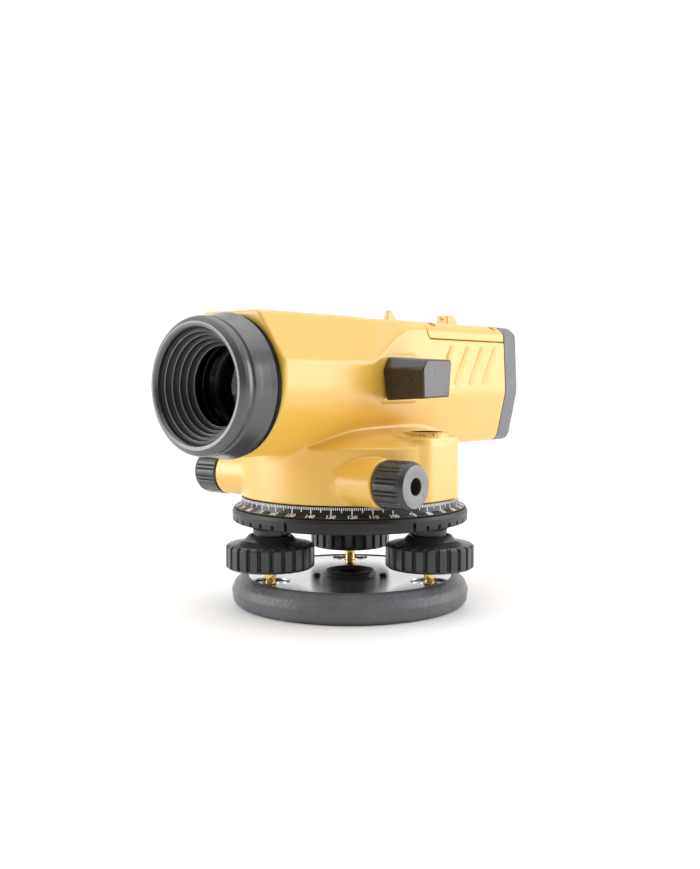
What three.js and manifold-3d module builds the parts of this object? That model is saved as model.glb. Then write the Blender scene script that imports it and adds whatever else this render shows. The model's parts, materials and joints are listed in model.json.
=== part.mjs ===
// Automatic level: a self-levelling surveying telescope that turns on a three-screw tribrach.
//
// Frame: millimetres, +Z up. The origin is on the vertical turning axis, in the plane of the base
// plate's underside, where the tripod screw comes in. The telescope looks along -Y, its eyepiece
// is at +Y, and +X is the side of the circular level and its mirror.

import * as THREE from 'three';
import { mergeVertices } from 'three/addons/utils/BufferGeometryUtils.js';
import Module from 'manifold-3d';

const wasm = await Module();
wasm.setup();

// ---------------------------------------------------------------- driving dimensions, mm

const GAP = 0.3;                        // air between pieces that touch on the real instrument

// Tribrach
const TRIBRACH_HEADING = -50.525;       // degrees: the tribrach's symmetry line, from +X
const FOOT_CIRCLE_R = 42;               // foot screws' distance from the vertical axis
const FOOT_ANGLES = [180, -60, 60];     // degrees from the symmetry line: screws 1, 2 and 3
const BASE_R = 56;
const BASE_RIM_R = 49.4;
const BASE_RIM_Z = 13.3;
const SPRING_PLATE_Z = [12.0, 12.8];
const BUSH_R = 12.2;                    // tripod bush, threaded 5/8 inch inside
const TRIPOD_BORE_R = 7.0;
const PLATE_SCREW_CIRCLE_R = 18;
const FOOT_KNOB = { r: 20.2, bottom: 19.1, shoulder: 30.2, ribs: 24, ribDepth: 1.3 };
const FOOT_CUP = { outer: 12, inner: 8.8, floor: 30.1, top: 34.3 };
const SPINDLE_R = 2.9;
const SPINDLE_TOP = 40.3;
const LEG = { r: 7.8, bottom: 33.6, bore: 5.9 };
const TRIVET_DISC = { r: 50, bottom: 38.4, top: 44.6 };
const TRIVET_BOSS = { r: 16.5, bore: 10.3, bottom: 33, top: 66 };

// Horizontal circle
const RING = { r: 55.6, inner: 50.4, bottom: 38.8, top: 45.2 };
const NOTCH_STEP = 7.5;                 // degrees between the ring's finger notches
const NOTCHES_PER_GROUP = 9;
const CIRCLE = { bandR: 51.3, bandTop: 50.5, flangeR: 54.5, bottom: 45.5, plateTop: 46.3 };
const FLANGE_TOP = { edge: 45.9, root: 46.9 };   // the numbered flange slopes outward

// Turret and fine motion
const TURRET = { r: 51.2, innerR: 48.2, bottom: 50.8, ceiling: 70.3, shoulder: 75.8, top: 82 };
const SPINDLE_AXIS_R = 10;
const WORM_AXIS = { y: -33, z: 60.7 };
const WHEEL_TEETH = 48;
const WHEEL_PITCH_R = 27;
const WHEEL_HUB_R = 20;
const WHEEL_RELIEF_R = 23.6;            // outer edge of the groove between hub and rim
const CLUTCH_SPRING = { r: 22, z: [46.7, 47.4] };
const GEAR_MODULE = (2 * WHEEL_PITCH_R) / WHEEL_TEETH;
const WORM_PITCH_R = -WORM_AXIS.y - WHEEL_PITCH_R;
const SHAFT_R = 3;
const SHAFT_END = 54.8;
const WHEEL_FACE = [57.7, 63.7];
const BARREL = { r: 10.8, end: 46.3, bore: 6.3 };
const WORM_BEARING = [35.5, 45.7];
const FINE_KNOB = { r: 10.6, inner: 46.7, outer: 62.4, ribs: 12, ribDepth: 0.9 };

// Telescope, measured from the optical axis
const AXIS_Z = 102.1;
const TUBE_BORE_R = 24;
const BODY_FRONT_Y = -78.1;
const BODY_REAR_Y = 94.8;
const SHOULDER_Y = [-21.8, 2.5];        // where the front tube turns into the squarer rear
const COVER = { front: 27.2, seam: 22.2, top: 30.5 };
// The open sight's bead and notched post, each between its y limits at the cover and at its top.
const BEAD = { base: [28, 34.2], tip: [28.8, 31.4], top: 138.9, half: 1.2 };
const POST = { base: [76.3, 85.4], tip: [77, 82.6], top: 138.5, half: 3.4 };
const SIGHT_NOTCH = { half: 1.1, bottom: 136 };
const COVER_SCREWS = [[21.4, 34.6], [21.4, 88.8], [-21.4, 34.6], [-21.4, 88.8]];
const HOOD = { front: -98, rear: -81.3, mouthR: 23.6, lipR: 28.4, r: 30.3, throatR: 16.5 };
const HOOD_RING = { r: 29.9, y: [-81, -78.4] };
const CAP = { front: 95.1, back: 110.5, wall: 2.6 };
const EYEPIECE_BACK_Y = 117;

// Focusing
const FOCUS_AXIS = { y: 6, z: -4.1 };
const FOCUS_BOSS = { r: 13, end: -36, bore: 3.3 };
const FOCUS_KNOB = { r: 17, inner: -36.3, outer: -55, ribs: 18, ribDepth: 1.0 };
const PINION = { teeth: 9, module: 0.8, pitchR: 3.6 };

// Circular level and its mirror
const LEVEL = { x: 41.2, y: 3.6, top: 81.4, pocketR: 9.3, pocketFloor: 72 };
const LEVEL_BLOCK = { x: 51.6, front: -13, rear: 20, top: 79.4, corner: 8 };
const MIRROR_BOX = { x: [30, 52], y: [-13.6, 7.9], z: [96, 114.6], slope: [2.6, 4.4], wall: 1.8 };
const MIRROR_PAD = { y: [-13.1, 14.5], overlap: 1.6 };

// ---------------------------------------------------------------- materials

function paint(color, roughness, metalness = 0) {
  return new THREE.MeshStandardMaterial({ color, roughness, metalness });
}

const MATERIAL = {
  yellow: () => paint(0xf0b63a, 0.42),
  casting: () => paint(0x4b4b50, 0.7),
  black: () => paint(0x232323, 0.5),
  greyRubber: () => paint(0x6b6c6e, 0.62),
  capGrey: () => paint(0x87888d, 0.5),
  steel: () => paint(0xc9c9cc, 0.22, 1),
  aluminium: () => paint(0xb4b6ba, 0.35, 1),
  brass: () => paint(0xc9a050, 0.28, 1),
  blackMetal: () => paint(0x1d1d20, 0.4, 0.6),
  glass: () => paint(0xa8c4cc, 0.05),
  mirror: () => paint(0xe6e9ec, 0.04, 1),
};

// ---------------------------------------------------------------- solid helpers

const rad = THREE.MathUtils.degToRad;

// A closed solid from a closed triangle surface, turned outward if it is inside out.
function solid(geometry) {
  const bare = geometry.clone();
  for (const name of Object.keys(bare.attributes)) {
    if (name !== 'position') bare.deleteAttribute(name);
  }
  const merged = mergeVertices(bare, 1e-4);
  const at = merged.attributes.position.array;
  const index = merged.index.array;
  const triangles = [];
  let volume = 0;
  for (let i = 0; i < index.length; i += 3) {
    const [a, b, c] = [index[i], index[i + 1], index[i + 2]];
    if (a === b || b === c || c === a) continue;
    triangles.push([a, b, c]);
    const [p, q, r] = [a, b, c].map((v) => new THREE.Vector3().fromArray(at, 3 * v));
    volume += p.dot(q.cross(r));
  }
  if (volume < 0) triangles.forEach((t) => t.reverse());
  return new wasm.Manifold(new wasm.Mesh({
    numProp: 3,
    vertProperties: Float32Array.from(at),
    triVerts: Uint32Array.from(triangles.flat()),
  }));
}

function geometryOf(manifold) {
  const mesh = manifold.getMesh();
  const geometry = new THREE.BufferGeometry();
  geometry.setAttribute('position', new THREE.BufferAttribute(mesh.vertProperties, 3));
  geometry.setIndex(new THREE.BufferAttribute(mesh.triVerts, 1));
  geometry.computeVertexNormals();
  return geometry;
}

const join = (first, ...rest) => rest.reduce((sum, piece) => sum.add(piece), first);
const cut = (first, ...rest) => rest.reduce((left, piece) => left.subtract(piece), first);

// A turned solid about +Z. A profile of [radius, height] points starts and ends on the axis, or
// closes on itself.
function turned(profile, sides = 24) {
  const points = profile.map(([r, z]) => new THREE.Vector2(r, z));
  const onAxis = profile[0][0] === 0 && profile[profile.length - 1][0] === 0;
  if (!onAxis) points.push(points[0].clone());
  return solid(new THREE.LatheGeometry(points, sides).rotateX(Math.PI / 2));
}

const disc = (r, z0, z1, sides) => turned([[0, z0], [r, z0], [r, z1], [0, z1]], sides);
const pipe = (inner, outer, z0, z1, sides) =>
  turned([[inner, z0], [outer, z0], [outer, z1], [inner, z1]], sides);

function box([x0, x1], [y0, y1], [z0, z1]) {
  const block = new THREE.BoxGeometry(x1 - x0, y1 - y0, z1 - z0);
  return solid(block.translate((x0 + x1) / 2, (y0 + y1) / 2, (z0 + z1) / 2));
}

// A flat outline of [x, y] points, extruded from z0 to z1.
function prism(points, z0, z1) {
  const shape = new THREE.Shape(points.map(([x, y]) => new THREE.Vector2(x, y)));
  const settings = { depth: z1 - z0, bevelEnabled: false };
  return solid(new THREE.ExtrudeGeometry(shape, settings).translate(0, 0, z0));
}

// An outline of [x, y, radius] corners, each rounded by an arc of steps segments.
function rounded(corners, steps = 5) {
  const out = [];
  corners.forEach(([x, y, r], i) => {
    const before = corners[(i + corners.length - 1) % corners.length];
    const after = corners[(i + 1) % corners.length];
    const corner = new THREE.Vector2(x, y);
    const inward = new THREE.Vector2(before[0] - x, before[1] - y).normalize();
    const onward = new THREE.Vector2(after[0] - x, after[1] - y).normalize();
    const half = Math.acos(THREE.MathUtils.clamp(inward.dot(onward), -1, 1)) / 2;
    const start = corner.clone().addScaledVector(inward, r / Math.tan(half));
    const middle = inward.clone().add(onward).normalize().multiplyScalar(r / Math.sin(half));
    const centre = corner.clone().add(middle);
    const turn = Math.sign(inward.cross(onward)) * -1;
    const sweep = (Math.PI - 2 * half) * turn;
    for (let k = 0; k <= steps; k += 1) {
      const p = start.clone().rotateAround(centre, (sweep * k) / steps);
      out.push([p.x, p.y]);
    }
  });
  return out;
}

// A skin through rings of 3D points, all with the same count, closed by a flat cap at each end.
function skinned(rings) {
  const count = rings[0].length;
  const position = rings.flat(2);
  const index = [];
  for (let i = 0; i + 1 < rings.length; i += 1) {
    for (let k = 0; k < count; k += 1) {
      const [a, b] = [i * count + k, i * count + ((k + 1) % count)];
      index.push(a, b, b + count, a, b + count, a + count);
    }
  }
  const cap = (ring, flip) => {
    const normal = new THREE.Vector3();
    const [p, q, r] = [0, 1, 2].map((k) => new THREE.Vector3(...ring[Math.floor((k * count) / 3)]));
    normal.crossVectors(q.clone().sub(p), r.clone().sub(p)).normalize();
    const turnFlat = new THREE.Quaternion().setFromUnitVectors(normal, new THREE.Vector3(0, 0, 1));
    const flat = ring.map((v) => new THREE.Vector3(...v).applyQuaternion(turnFlat));
    const faces = THREE.ShapeUtils.triangulateShape(flat.map((v) => new THREE.Vector2(v.x, v.y)), []);
    return faces.map((f) => (flip ? [f[0], f[2], f[1]] : f));
  };
  const last = (rings.length - 1) * count;
  cap(rings[0], true).forEach((f) => index.push(...f));
  cap(rings[rings.length - 1], false).forEach((f) => index.push(...f.map((v) => v + last)));
  const geometry = new THREE.BufferGeometry();
  geometry.setAttribute('position', new THREE.Float32BufferAttribute(position, 3));
  geometry.setIndex(index);
  return solid(geometry);
}

// A ring of ribs as an outline: each rib is flat on top with sloping flanks.
function ribbedOutline(r, ribs, depth, ribShare = 0.6, flankShare = 0.08) {
  const points = [];
  for (let i = 0; i < ribs; i += 1) {
    const stops = [
      [0, r], [ribShare, r], [ribShare + flankShare, r - depth], [1 - flankShare, r - depth],
    ];
    for (const [share, radius] of stops) {
      const angle = ((i + share) / ribs) * 2 * Math.PI;
      points.push([radius * Math.cos(angle), radius * Math.sin(angle)]);
    }
  }
  return points;
}

// Turns a solid made about +Z so that it lies about +X or about +Y.
const alongX = (piece) => piece.rotate([0, 90, 0]);
const alongY = (piece) => piece.rotate([-90, 0, 0]);

// ---------------------------------------------------------------- scene graph

const level = new THREE.Group();
const tribrach = new THREE.Group();
tribrach.rotation.z = rad(TRIBRACH_HEADING);
const alidade = new THREE.Group();
const telescope = new THREE.Group();      // its pieces are turned about local Z, which is world +Y
telescope.position.z = AXIS_Z;
telescope.rotation.x = -Math.PI / 2;
alidade.add(telescope);
level.add(tribrach, alidade);

function place(parent, name, piece, material, position = [0, 0, 0], turn = [0, 0, 0]) {
  const mesh = new THREE.Mesh(geometryOf(piece), material());
  mesh.name = name;
  mesh.position.set(...position);
  mesh.rotation.set(...turn);
  parent.add(mesh);
  return mesh;
}

const polar = (r, degrees) => [r * Math.cos(rad(degrees)), r * Math.sin(rad(degrees)), 0];

// ---------------------------------------------------------------- base

function basePlate() {
  const FLOOR_Z = 4.5;
  const shell = turned([
    [BUSH_R + GAP, 0], [22, 0], [22, 1.5], [44, 1.5], [44, 0], [52.7, 0], [55.6, 2.4], [BASE_R, 7],
    [53.8, 11.2], [BASE_RIM_R, BASE_RIM_Z], [48.6, BASE_RIM_Z], [48.6, FLOOR_Z],
    [BUSH_R + GAP, FLOOR_Z],
  ], 40);
  const seats = FOOT_ANGLES.map((angle) => {
    const seat = turned([[0, FLOOR_Z - 1], [6.5, FLOOR_Z - 1], [6.5, 9], [4.6, 9], [0, 7]], 14);
    return seat.translate(polar(FOOT_CIRCLE_R, angle));
  });
  const posts = FOOT_ANGLES.map((angle) => {
    const post = disc(3.2, FLOOR_Z - 1, SPRING_PLATE_Z[0] - GAP, 10);
    return post.translate(polar(PLATE_SCREW_CIRCLE_R, angle));
  });
  return join(shell, ...seats, ...posts);
}

function springPlate() {
  const [low, high] = SPRING_PLATE_Z;
  const sheet = pipe(BUSH_R + GAP, 48.2, low, high, 36);
  const clear = FOOT_ANGLES.flatMap((angle) => [
    disc(9, low - 1, high + 1, 16).translate(polar(FOOT_CIRCLE_R, angle)),
    disc(1.9, low - 1, high + 1, 10).translate(polar(PLATE_SCREW_CIRCLE_R, angle)),
  ]);
  return cut(sheet, ...clear);
}

function tripodBush() {
  const body = turned([
    [TRIPOD_BORE_R, 0.6], [BUSH_R, 0.6], [BUSH_R, 13.6], [BUSH_R - 0.8, 14.4], [9.6, 14.4],
    [9, 13.6], [TRIPOD_BORE_R, 13.6],
  ], 28);
  const spannerSlots = [0, 60, 120].map((angle) =>
    box([-BUSH_R - 1, BUSH_R + 1], [-0.9, 0.9], [13.4, 15]).rotate([0, 0, angle + 30]));
  return cut(body, ...spannerSlots);
}

function plateScrew() {
  return turned([[0, SPRING_PLATE_Z[0]], [1.6, SPRING_PLATE_Z[0]], [1.6, 13.1], [2.3, 13.1],
    [2.3, 13.8], [1.8, 14.2], [0, 14.2]], 10);
}

place(tribrach, 'base_plate', basePlate(), MATERIAL.casting);
place(tribrach, 'spring_plate', springPlate(), MATERIAL.steel);
place(tribrach, 'tripod_bush', tripodBush(), MATERIAL.black);
FOOT_ANGLES.forEach((angle, i) => {
  place(tribrach, `plate_screw_${i + 1}`, plateScrew(), MATERIAL.blackMetal,
    polar(PLATE_SCREW_CIRCLE_R, angle));
});

// ---------------------------------------------------------------- foot screws

function footKnob() {
  const { r, bottom, shoulder, ribs, ribDepth } = FOOT_KNOB;
  const grip = prism(ribbedOutline(r, ribs, ribDepth), bottom + 0.8, shoulder);
  const core = turned([
    [0, bottom], [17.6, bottom], [18.7, bottom + 1], [18.7, shoulder + 0.5], [FOOT_CUP.outer, 32],
    [FOOT_CUP.inner + 0.9, FOOT_CUP.top], [FOOT_CUP.inner, FOOT_CUP.top],
    [FOOT_CUP.inner, FOOT_CUP.floor], [0, FOOT_CUP.floor],
  ], 20);
  return cut(join(core, grip), disc(SPINDLE_R + GAP, bottom - 1, FOOT_CUP.top, 12));
}

// The brass spindle: a ball foot in the base plate's seat, and a threaded shank up into the leg.
function footSpindle() {
  const ball = [];
  for (let step = 0; step <= 3; step += 1) {
    const angle = rad(-60 + step * 35);
    ball.push([3.6 * Math.cos(angle), 11.6 + 3.6 * Math.sin(angle)]);
  }
  return turned([[0, ball[0][1]], ...ball, [SPINDLE_R, 16], [SPINDLE_R, SPINDLE_TOP],
    [0, SPINDLE_TOP]], 12);
}

const footNut = () => pipe(SPINDLE_R + 0.9, LEG.bore - 0.6, LEG.bottom + 0.4, 38.2, 16);

FOOT_ANGLES.forEach((angle, i) => {
  const screw = new THREE.Group();
  screw.position.set(...polar(FOOT_CIRCLE_R, angle));
  tribrach.add(screw);
  place(screw, `foot_screw_knob_${i + 1}`, footKnob(), MATERIAL.black);
  place(screw, `foot_screw_spindle_${i + 1}`, footSpindle(), MATERIAL.brass);
  place(screw, `foot_screw_nut_${i + 1}`, footNut(), MATERIAL.brass);
});

// ---------------------------------------------------------------- trivet, circle and clutch

function trivet() {
  const { r, bottom, top } = TRIVET_DISC;
  const NUT_POCKET_R = 12.6;
  const body = turned([
    [TRIVET_BOSS.bore, TRIVET_BOSS.top], [TRIVET_BOSS.bore, 38.6], [NUT_POCKET_R, 38.6],
    [NUT_POCKET_R, TRIVET_BOSS.bottom], [TRIVET_BOSS.r + 1, TRIVET_BOSS.bottom],
    [TRIVET_BOSS.r + 3, bottom], [r, bottom], [r, top], [TRIVET_BOSS.r, top],
    [TRIVET_BOSS.r, TRIVET_BOSS.top],
  ], 36);
  const legs = FOOT_ANGLES.map((angle) =>
    disc(LEG.r, LEG.bottom, bottom + 0.5, 16).translate(polar(FOOT_CIRCLE_R, angle)));
  const bores = FOOT_ANGLES.map((angle) =>
    disc(LEG.bore, LEG.bottom - 1, top - 1, 14).translate(polar(FOOT_CIRCLE_R, angle)));
  return cut(join(body, ...legs), ...bores);
}

function positioningRing() {
  const { r, inner, bottom, top } = RING;
  const ring = turned([
    [inner, bottom], [r - 0.8, bottom], [r, bottom + 1.2], [r, top - 0.8], [r - 0.7, top],
    [inner, top],
  ], 44);
  const notches = [];
  for (const group of [30, 150, 270]) {
    for (let k = 0; k < NOTCHES_PER_GROUP; k += 1) {
      const notch = box([r - 0.8, r + 1], [-0.6, 0.6], [bottom - 1, bottom + 3.6]);
      notches.push(notch.rotate([0, 0, group + k * NOTCH_STEP]));
    }
  }
  return cut(ring, ...notches);
}

function graduatedCircle() {
  const { bandR, bandTop, flangeR, bottom, plateTop } = CIRCLE;
  const { edge, root } = FLANGE_TOP;
  const boreR = TRIVET_BOSS.r + GAP;
  return turned([
    [boreR, bottom], [flangeR, bottom], [flangeR, edge], [bandR + 0.3, root], [bandR, bandTop],
    [bandR - 1.4, bandTop], [bandR - 1.4, plateTop], [boreR, plateTop],
  ], 44);
}

const clutchSpring = () => pipe(TRIVET_BOSS.r + GAP, CLUTCH_SPRING.r, ...CLUTCH_SPRING.z, 28);

// Worm wheel: a friction-held hub on the trivet's boss, a web, and a toothed rim whose teeth
// slope with the worm's lead angle.
function wormWheel() {
  const [low, high] = WHEEL_FACE;
  const middle = WORM_AXIS.z;
  const leadSlope = (GEAR_MODULE * Math.PI) / (2 * Math.PI * WORM_PITCH_R);
  const stops = [[-0.33, -1.2], [-0.2, 0.75], [0.2, 0.75], [0.33, -1.2]];
  const ring = (z) => {
    const twist = ((z - middle) * leadSlope) / WHEEL_PITCH_R;
    const points = [];
    for (let tooth = 0; tooth < WHEEL_TEETH; tooth += 1) {
      for (const [share, height] of stops) {
        const angle = ((tooth + 0.5 + share) / WHEEL_TEETH) * 2 * Math.PI - Math.PI / 2 + twist;
        const r = WHEEL_PITCH_R + height * GEAR_MODULE;
        points.push([r * Math.cos(angle), r * Math.sin(angle), z]);
      }
    }
    return points;
  };
  const blank = skinned([ring(low), ring(high)]);
  const relief = pipe(WHEEL_HUB_R, WHEEL_RELIEF_R, low + 2, high + 1, 24);
  const hub = disc(WHEEL_HUB_R, 47.7, high, 24);
  return cut(join(blank, hub), relief, disc(TRIVET_BOSS.r + GAP + 0.1, 40, 70, 32));
}

place(tribrach, 'trivet', trivet(), MATERIAL.black);
place(tribrach, 'positioning_ring', positioningRing(), MATERIAL.black);
place(alidade, 'graduated_circle', graduatedCircle(), MATERIAL.blackMetal);
place(tribrach, 'clutch_spring', clutchSpring(), MATERIAL.steel);
place(alidade, 'worm_wheel', wormWheel(), MATERIAL.brass);

// ---------------------------------------------------------------- main housing

// Half-sections of the telescope body, as [x, z, corner radius] from the optical axis: a front
// tube with a slanted flat and a round underside, and a squarer rear.
const FRONT_TUBE = [[12.4, -29.9, 27], [30.5, -10, 26], [31, 10.4, 3], [17, 31.2, 4]];
const REAR_BODY = [[22.4, -29.6, 6], [28.2, -3.7, 5], [26.9, 24.2, 3], [22.4, 30.5, 3]];

function section(half, y, scale = 1) {
  const mirrored = half.map(([x, z, r]) => [-x, z, r]).reverse();
  return rounded([...half, ...mirrored], 3).map(([x, z]) => [scale * x, y, AXIS_Z + scale * z]);
}

function telescopeBlank() {
  const EDGE = 0.8;
  return skinned([
    section(FRONT_TUBE, BODY_FRONT_Y, 0.975), section(FRONT_TUBE, BODY_FRONT_Y + EDGE),
    section(FRONT_TUBE, SHOULDER_Y[0]), section(REAR_BODY, SHOULDER_Y[1]),
    section(REAR_BODY, BODY_REAR_Y),
  ]);
}

function turretBlank() {
  const { r, bottom, shoulder, top } = TURRET;
  const drum = turned([[0, bottom], [r, bottom], [r - 0.8, shoulder - 1.2], [r - 2, shoulder],
    [34, top], [0, top]], 48);
  const { x, front, rear, top: blockTop, corner } = LEVEL_BLOCK;
  const outline = rounded([[20, front, 2], [x, front, corner], [x, rear, corner], [20, rear, 2]], 3);
  const block = prism(outline, bottom, blockTop);
  const rim = disc(LEVEL.pocketR + 1, bottom + 10, LEVEL.top, 24).translate([LEVEL.x, LEVEL.y, 0]);
  const barrel = alongX(disc(BARREL.r, -BARREL.end, BARREL.end, 24));
  const fairing = cut(barrel.translate([0, WORM_AXIS.y, WORM_AXIS.z]),
    box([-80, 80], [-80, 0], [40, bottom]));
  return join(drum, block, rim, fairing);
}

const coverZone = (grow) =>
  box([-60, 60], [COVER.front - grow, BODY_REAR_Y + 1], [AXIS_Z + COVER.seam - grow, 160]);

function mainHousing() {
  const atFocusAxis = [0, FOCUS_AXIS.y, AXIS_Z + FOCUS_AXIS.z];
  const focusBoss = alongX(disc(FOCUS_BOSS.r, FOCUS_BOSS.end, -22, 24)).translate(atFocusAxis);
  const { x: [x0], y: [y0, y1], z: [z0, z1] } = MIRROR_BOX;
  const { y: padY, overlap } = MIRROR_PAD;
  const mirrorPad = box([25, x0 - GAP], padY, [z0 - overlap, z1 + overlap]);
  const mirrorRecess = box([x0 - GAP, 60], [y0 - GAP, y1 + GAP], [z0 - GAP, z1 + GAP]);
  const blank = join(telescopeBlank(), turretBlank(), focusBoss, mirrorPad);
  return cut(blank, mirrorRecess,
    alongY(disc(TUBE_BORE_R, BODY_FRONT_Y - 1, BODY_REAR_Y + 1, 36)).translate([0, 0, AXIS_Z]),
    disc(TURRET.innerR, TURRET.bottom - 1, TURRET.ceiling, 40),
    alongX(disc(BARREL.bore, -80, 80, 18)).translate([0, WORM_AXIS.y, WORM_AXIS.z]),
    disc(LEVEL.pocketR, LEVEL.pocketFloor, LEVEL.top + 1, 24).translate([LEVEL.x, LEVEL.y, 0]),
    alongX(disc(FOCUS_BOSS.bore, -40, -20, 14)).translate(atFocusAxis),
    box([-17, 17], [30.6, 90], [AXIS_Z + 12, 140]),
    coverZone(0));
}

function topCover() {
  const lid = telescopeBlank().intersect(box([-60, 60], [COVER.front + GAP, BODY_REAR_Y - GAP],
    [AXIS_Z + COVER.seam + GAP, 160]));
  const top = AXIS_Z + COVER.top;
  const sight = ({ base, tip, top: sightTop, half }) =>
    prism([[base[0], top - 1], [base[1], top - 1], [tip[1], sightTop], [tip[0], sightTop]],
      -half, half).rotate([90, 0, 0]).rotate([0, 0, 90]);
  const notch = box([-SIGHT_NOTCH.half, SIGHT_NOTCH.half], [70, 93],
    [SIGHT_NOTCH.bottom, POST.top + 1.5]);
  const hollow = box([-16.5, 16.5], [30.6, 89], [AXIS_Z + 20, top - 2.2]);
  const recesses = COVER_SCREWS.map(([x, y]) =>
    disc(2.9, top - 4.2, top + 1, 14).translate([x, y, 0]));
  return cut(join(lid, sight(BEAD), cut(sight(POST), notch)), hollow, ...recesses);
}

function coverScrew() {
  const head = turned([[0, 0], [2.5, 0], [2.5, 2.7], [0, 2.7]], 12);
  return cut(head, box([-0.9, 0.9], [-0.3, 0.3], [1.6, 3]), box([-0.3, 0.3], [-0.9, 0.9], [1.6, 3]));
}

place(alidade, 'main_housing', mainHousing(), MATERIAL.yellow);
place(alidade, 'top_cover', topCover(), MATERIAL.yellow);
COVER_SCREWS.forEach(([x, y], i) => {
  const seat = [x, y, AXIS_Z + COVER.top - 3.9];
  place(alidade, `cover_screw_${i + 1}`, coverScrew(), MATERIAL.steel, seat);
});

// ---------------------------------------------------------------- vertical axis and fine motion

function axisSpindle() {
  return turned([[0, 33.4], [5, 33.4], [5, 38.9], [SPINDLE_AXIS_R, 38.9], [SPINDLE_AXIS_R, 66.4],
    [18, 66.4], [18, TURRET.ceiling - GAP], [0, TURRET.ceiling - GAP]], 28);
}

const axisNut = () => cut(disc(12, 34, 38.2, 6), disc(5.4, 33, 39, 16));

// One steel shaft through both barrels, with the worm's thread cut in its middle.
function wormShaft() {
  const THREAD_HALF_LENGTH = 9;
  const STEPS_PER_TURN = 10;
  const pitch = GEAR_MODULE * Math.PI;
  const [root, crest] = [WORM_PITCH_R - 1.2, WORM_PITCH_R + 0.75];
  const corners = [[-0.75, root - 0.4], [-0.33, crest], [0.33, crest], [0.75, root - 0.4]];
  const turns = (2 * THREAD_HALF_LENGTH + pitch) / pitch;
  const rings = [];
  for (let step = 0; step <= Math.round(turns * STEPS_PER_TURN); step += 1) {
    const turn = step / STEPS_PER_TURN - Math.ceil(turns / 2);
    const angle = turn * 2 * Math.PI;
    rings.push(corners.map(([dx, r]) =>
      [turn * pitch + dx, r * Math.cos(angle), r * Math.sin(angle)]));
  }
  const thread = skinned(rings);
  const clip = alongX(disc(crest + 1, -THREAD_HALF_LENGTH, THREAD_HALF_LENGTH, 8));
  const core = alongX(turned([[0, -SHAFT_END], [SHAFT_R, -SHAFT_END], [SHAFT_R, -11], [root, -10],
    [root, 10], [SHAFT_R, 11], [SHAFT_R, SHAFT_END], [0, SHAFT_END]], 16));
  return join(core, thread.intersect(clip));
}

function fineKnob() {
  const { r, inner, outer, ribs, ribDepth } = FINE_KNOB;
  const grip = prism(ribbedOutline(r, ribs, ribDepth, 0.62, 0.1), inner + 1.2, outer - 1.6);
  const rootR = r - ribDepth - 0.05;
  const core = turned([[0, inner], [r - 0.6, inner], [r - 0.6, inner + 1.6], [rootR, inner + 1.8],
    [rootR, outer - 1.6], [r - 1.4, outer], [0, outer]], 24);
  const shaftBore = disc(SHAFT_R + GAP, inner - 1, outer, 14);
  const endRecess = disc(3.7, outer - 7, outer + 1, 18);
  return cut(join(core, grip), shaftBore, endRecess);
}

const wormBearing = () => alongX(pipe(SHAFT_R + GAP, BARREL.bore - GAP, ...WORM_BEARING, 16));

const wormPlace = [0, WORM_AXIS.y, WORM_AXIS.z];
place(alidade, 'axis_spindle', axisSpindle(), MATERIAL.steel);
place(alidade, 'axis_nut', axisNut(), MATERIAL.brass);
place(alidade, 'worm_shaft', wormShaft(), MATERIAL.steel, wormPlace);
place(alidade, 'fine_knob_left', alongX(fineKnob()), MATERIAL.black, wormPlace);
place(alidade, 'fine_knob_right', alongX(fineKnob()), MATERIAL.black, wormPlace, [0, 0, Math.PI]);
place(alidade, 'worm_bearing_left', wormBearing(), MATERIAL.brass, wormPlace);
place(alidade, 'worm_bearing_right', wormBearing(), MATERIAL.brass, wormPlace, [0, 0, Math.PI]);

// ---------------------------------------------------------------- objective end

// The hood: a lip, a groove and a drum outside, and a stepped baffle cone inside.
function objectiveHood() {
  const { front, rear, mouthR, lipR, r, throatR } = HOOD;
  const BAFFLES = 6;
  const outside = [
    [mouthR + 0.4, front + 0.4], [mouthR + 1.6, front], [lipR - 1, front + 1.4],
    [lipR, front + 2.8], [lipR, front + 4.4], [lipR - 0.6, front + 5.2], [lipR, front + 6],
    [lipR + 0.5, front + 10], [r - 0.6, front + 14], [r, rear],
  ];
  const inside = [];
  const depth = (rear - 1.5 - (front + 1.6)) / BAFFLES;
  const shrink = (mouthR - throatR) / BAFFLES;
  for (let step = BAFFLES; step > 0; step -= 1) {
    const y = front + 1.6 + step * depth;
    inside.push([mouthR - step * shrink, y], [mouthR - (step - 1) * shrink, y - 0.6]);
  }
  return turned([...outside, [throatR, rear], ...inside, [mouthR, front + 1.6]], 32);
}

function objectiveCell() {
  return turned([[17.3, -77.4], [TUBE_BORE_R - GAP, -77.4], [TUBE_BORE_R - GAP, -66], [15.8, -66],
    [15.8, -68.4], [17.3, -68.4]], 24);
}

// A lens with spherical faces: radius, edge faces y0 and y1, and each face's bulge.
function lens(r, y0, y1, bulge0, bulge1, sides = 24) {
  const STEPS = 2;
  const face = (y, bulge) => Array.from({ length: STEPS }, (_, k) => {
    const share = k / STEPS;
    return [share * r, y + bulge * (1 - share * share)];
  });
  return turned([...face(y0, -bulge0), [r, y0], [r, y1], ...face(y1, bulge1).reverse()], sides);
}

place(telescope, 'objective_hood', objectiveHood(), MATERIAL.greyRubber);
place(telescope, 'hood_ring', pipe(TUBE_BORE_R, HOOD_RING.r, ...HOOD_RING.y, 32), MATERIAL.black);
place(telescope, 'objective_cell', objectiveCell(), MATERIAL.blackMetal);
place(telescope, 'objective_lens', lens(17, -74.4, -69, 1.9, 0.6), MATERIAL.glass);

// ---------------------------------------------------------------- focusing

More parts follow.
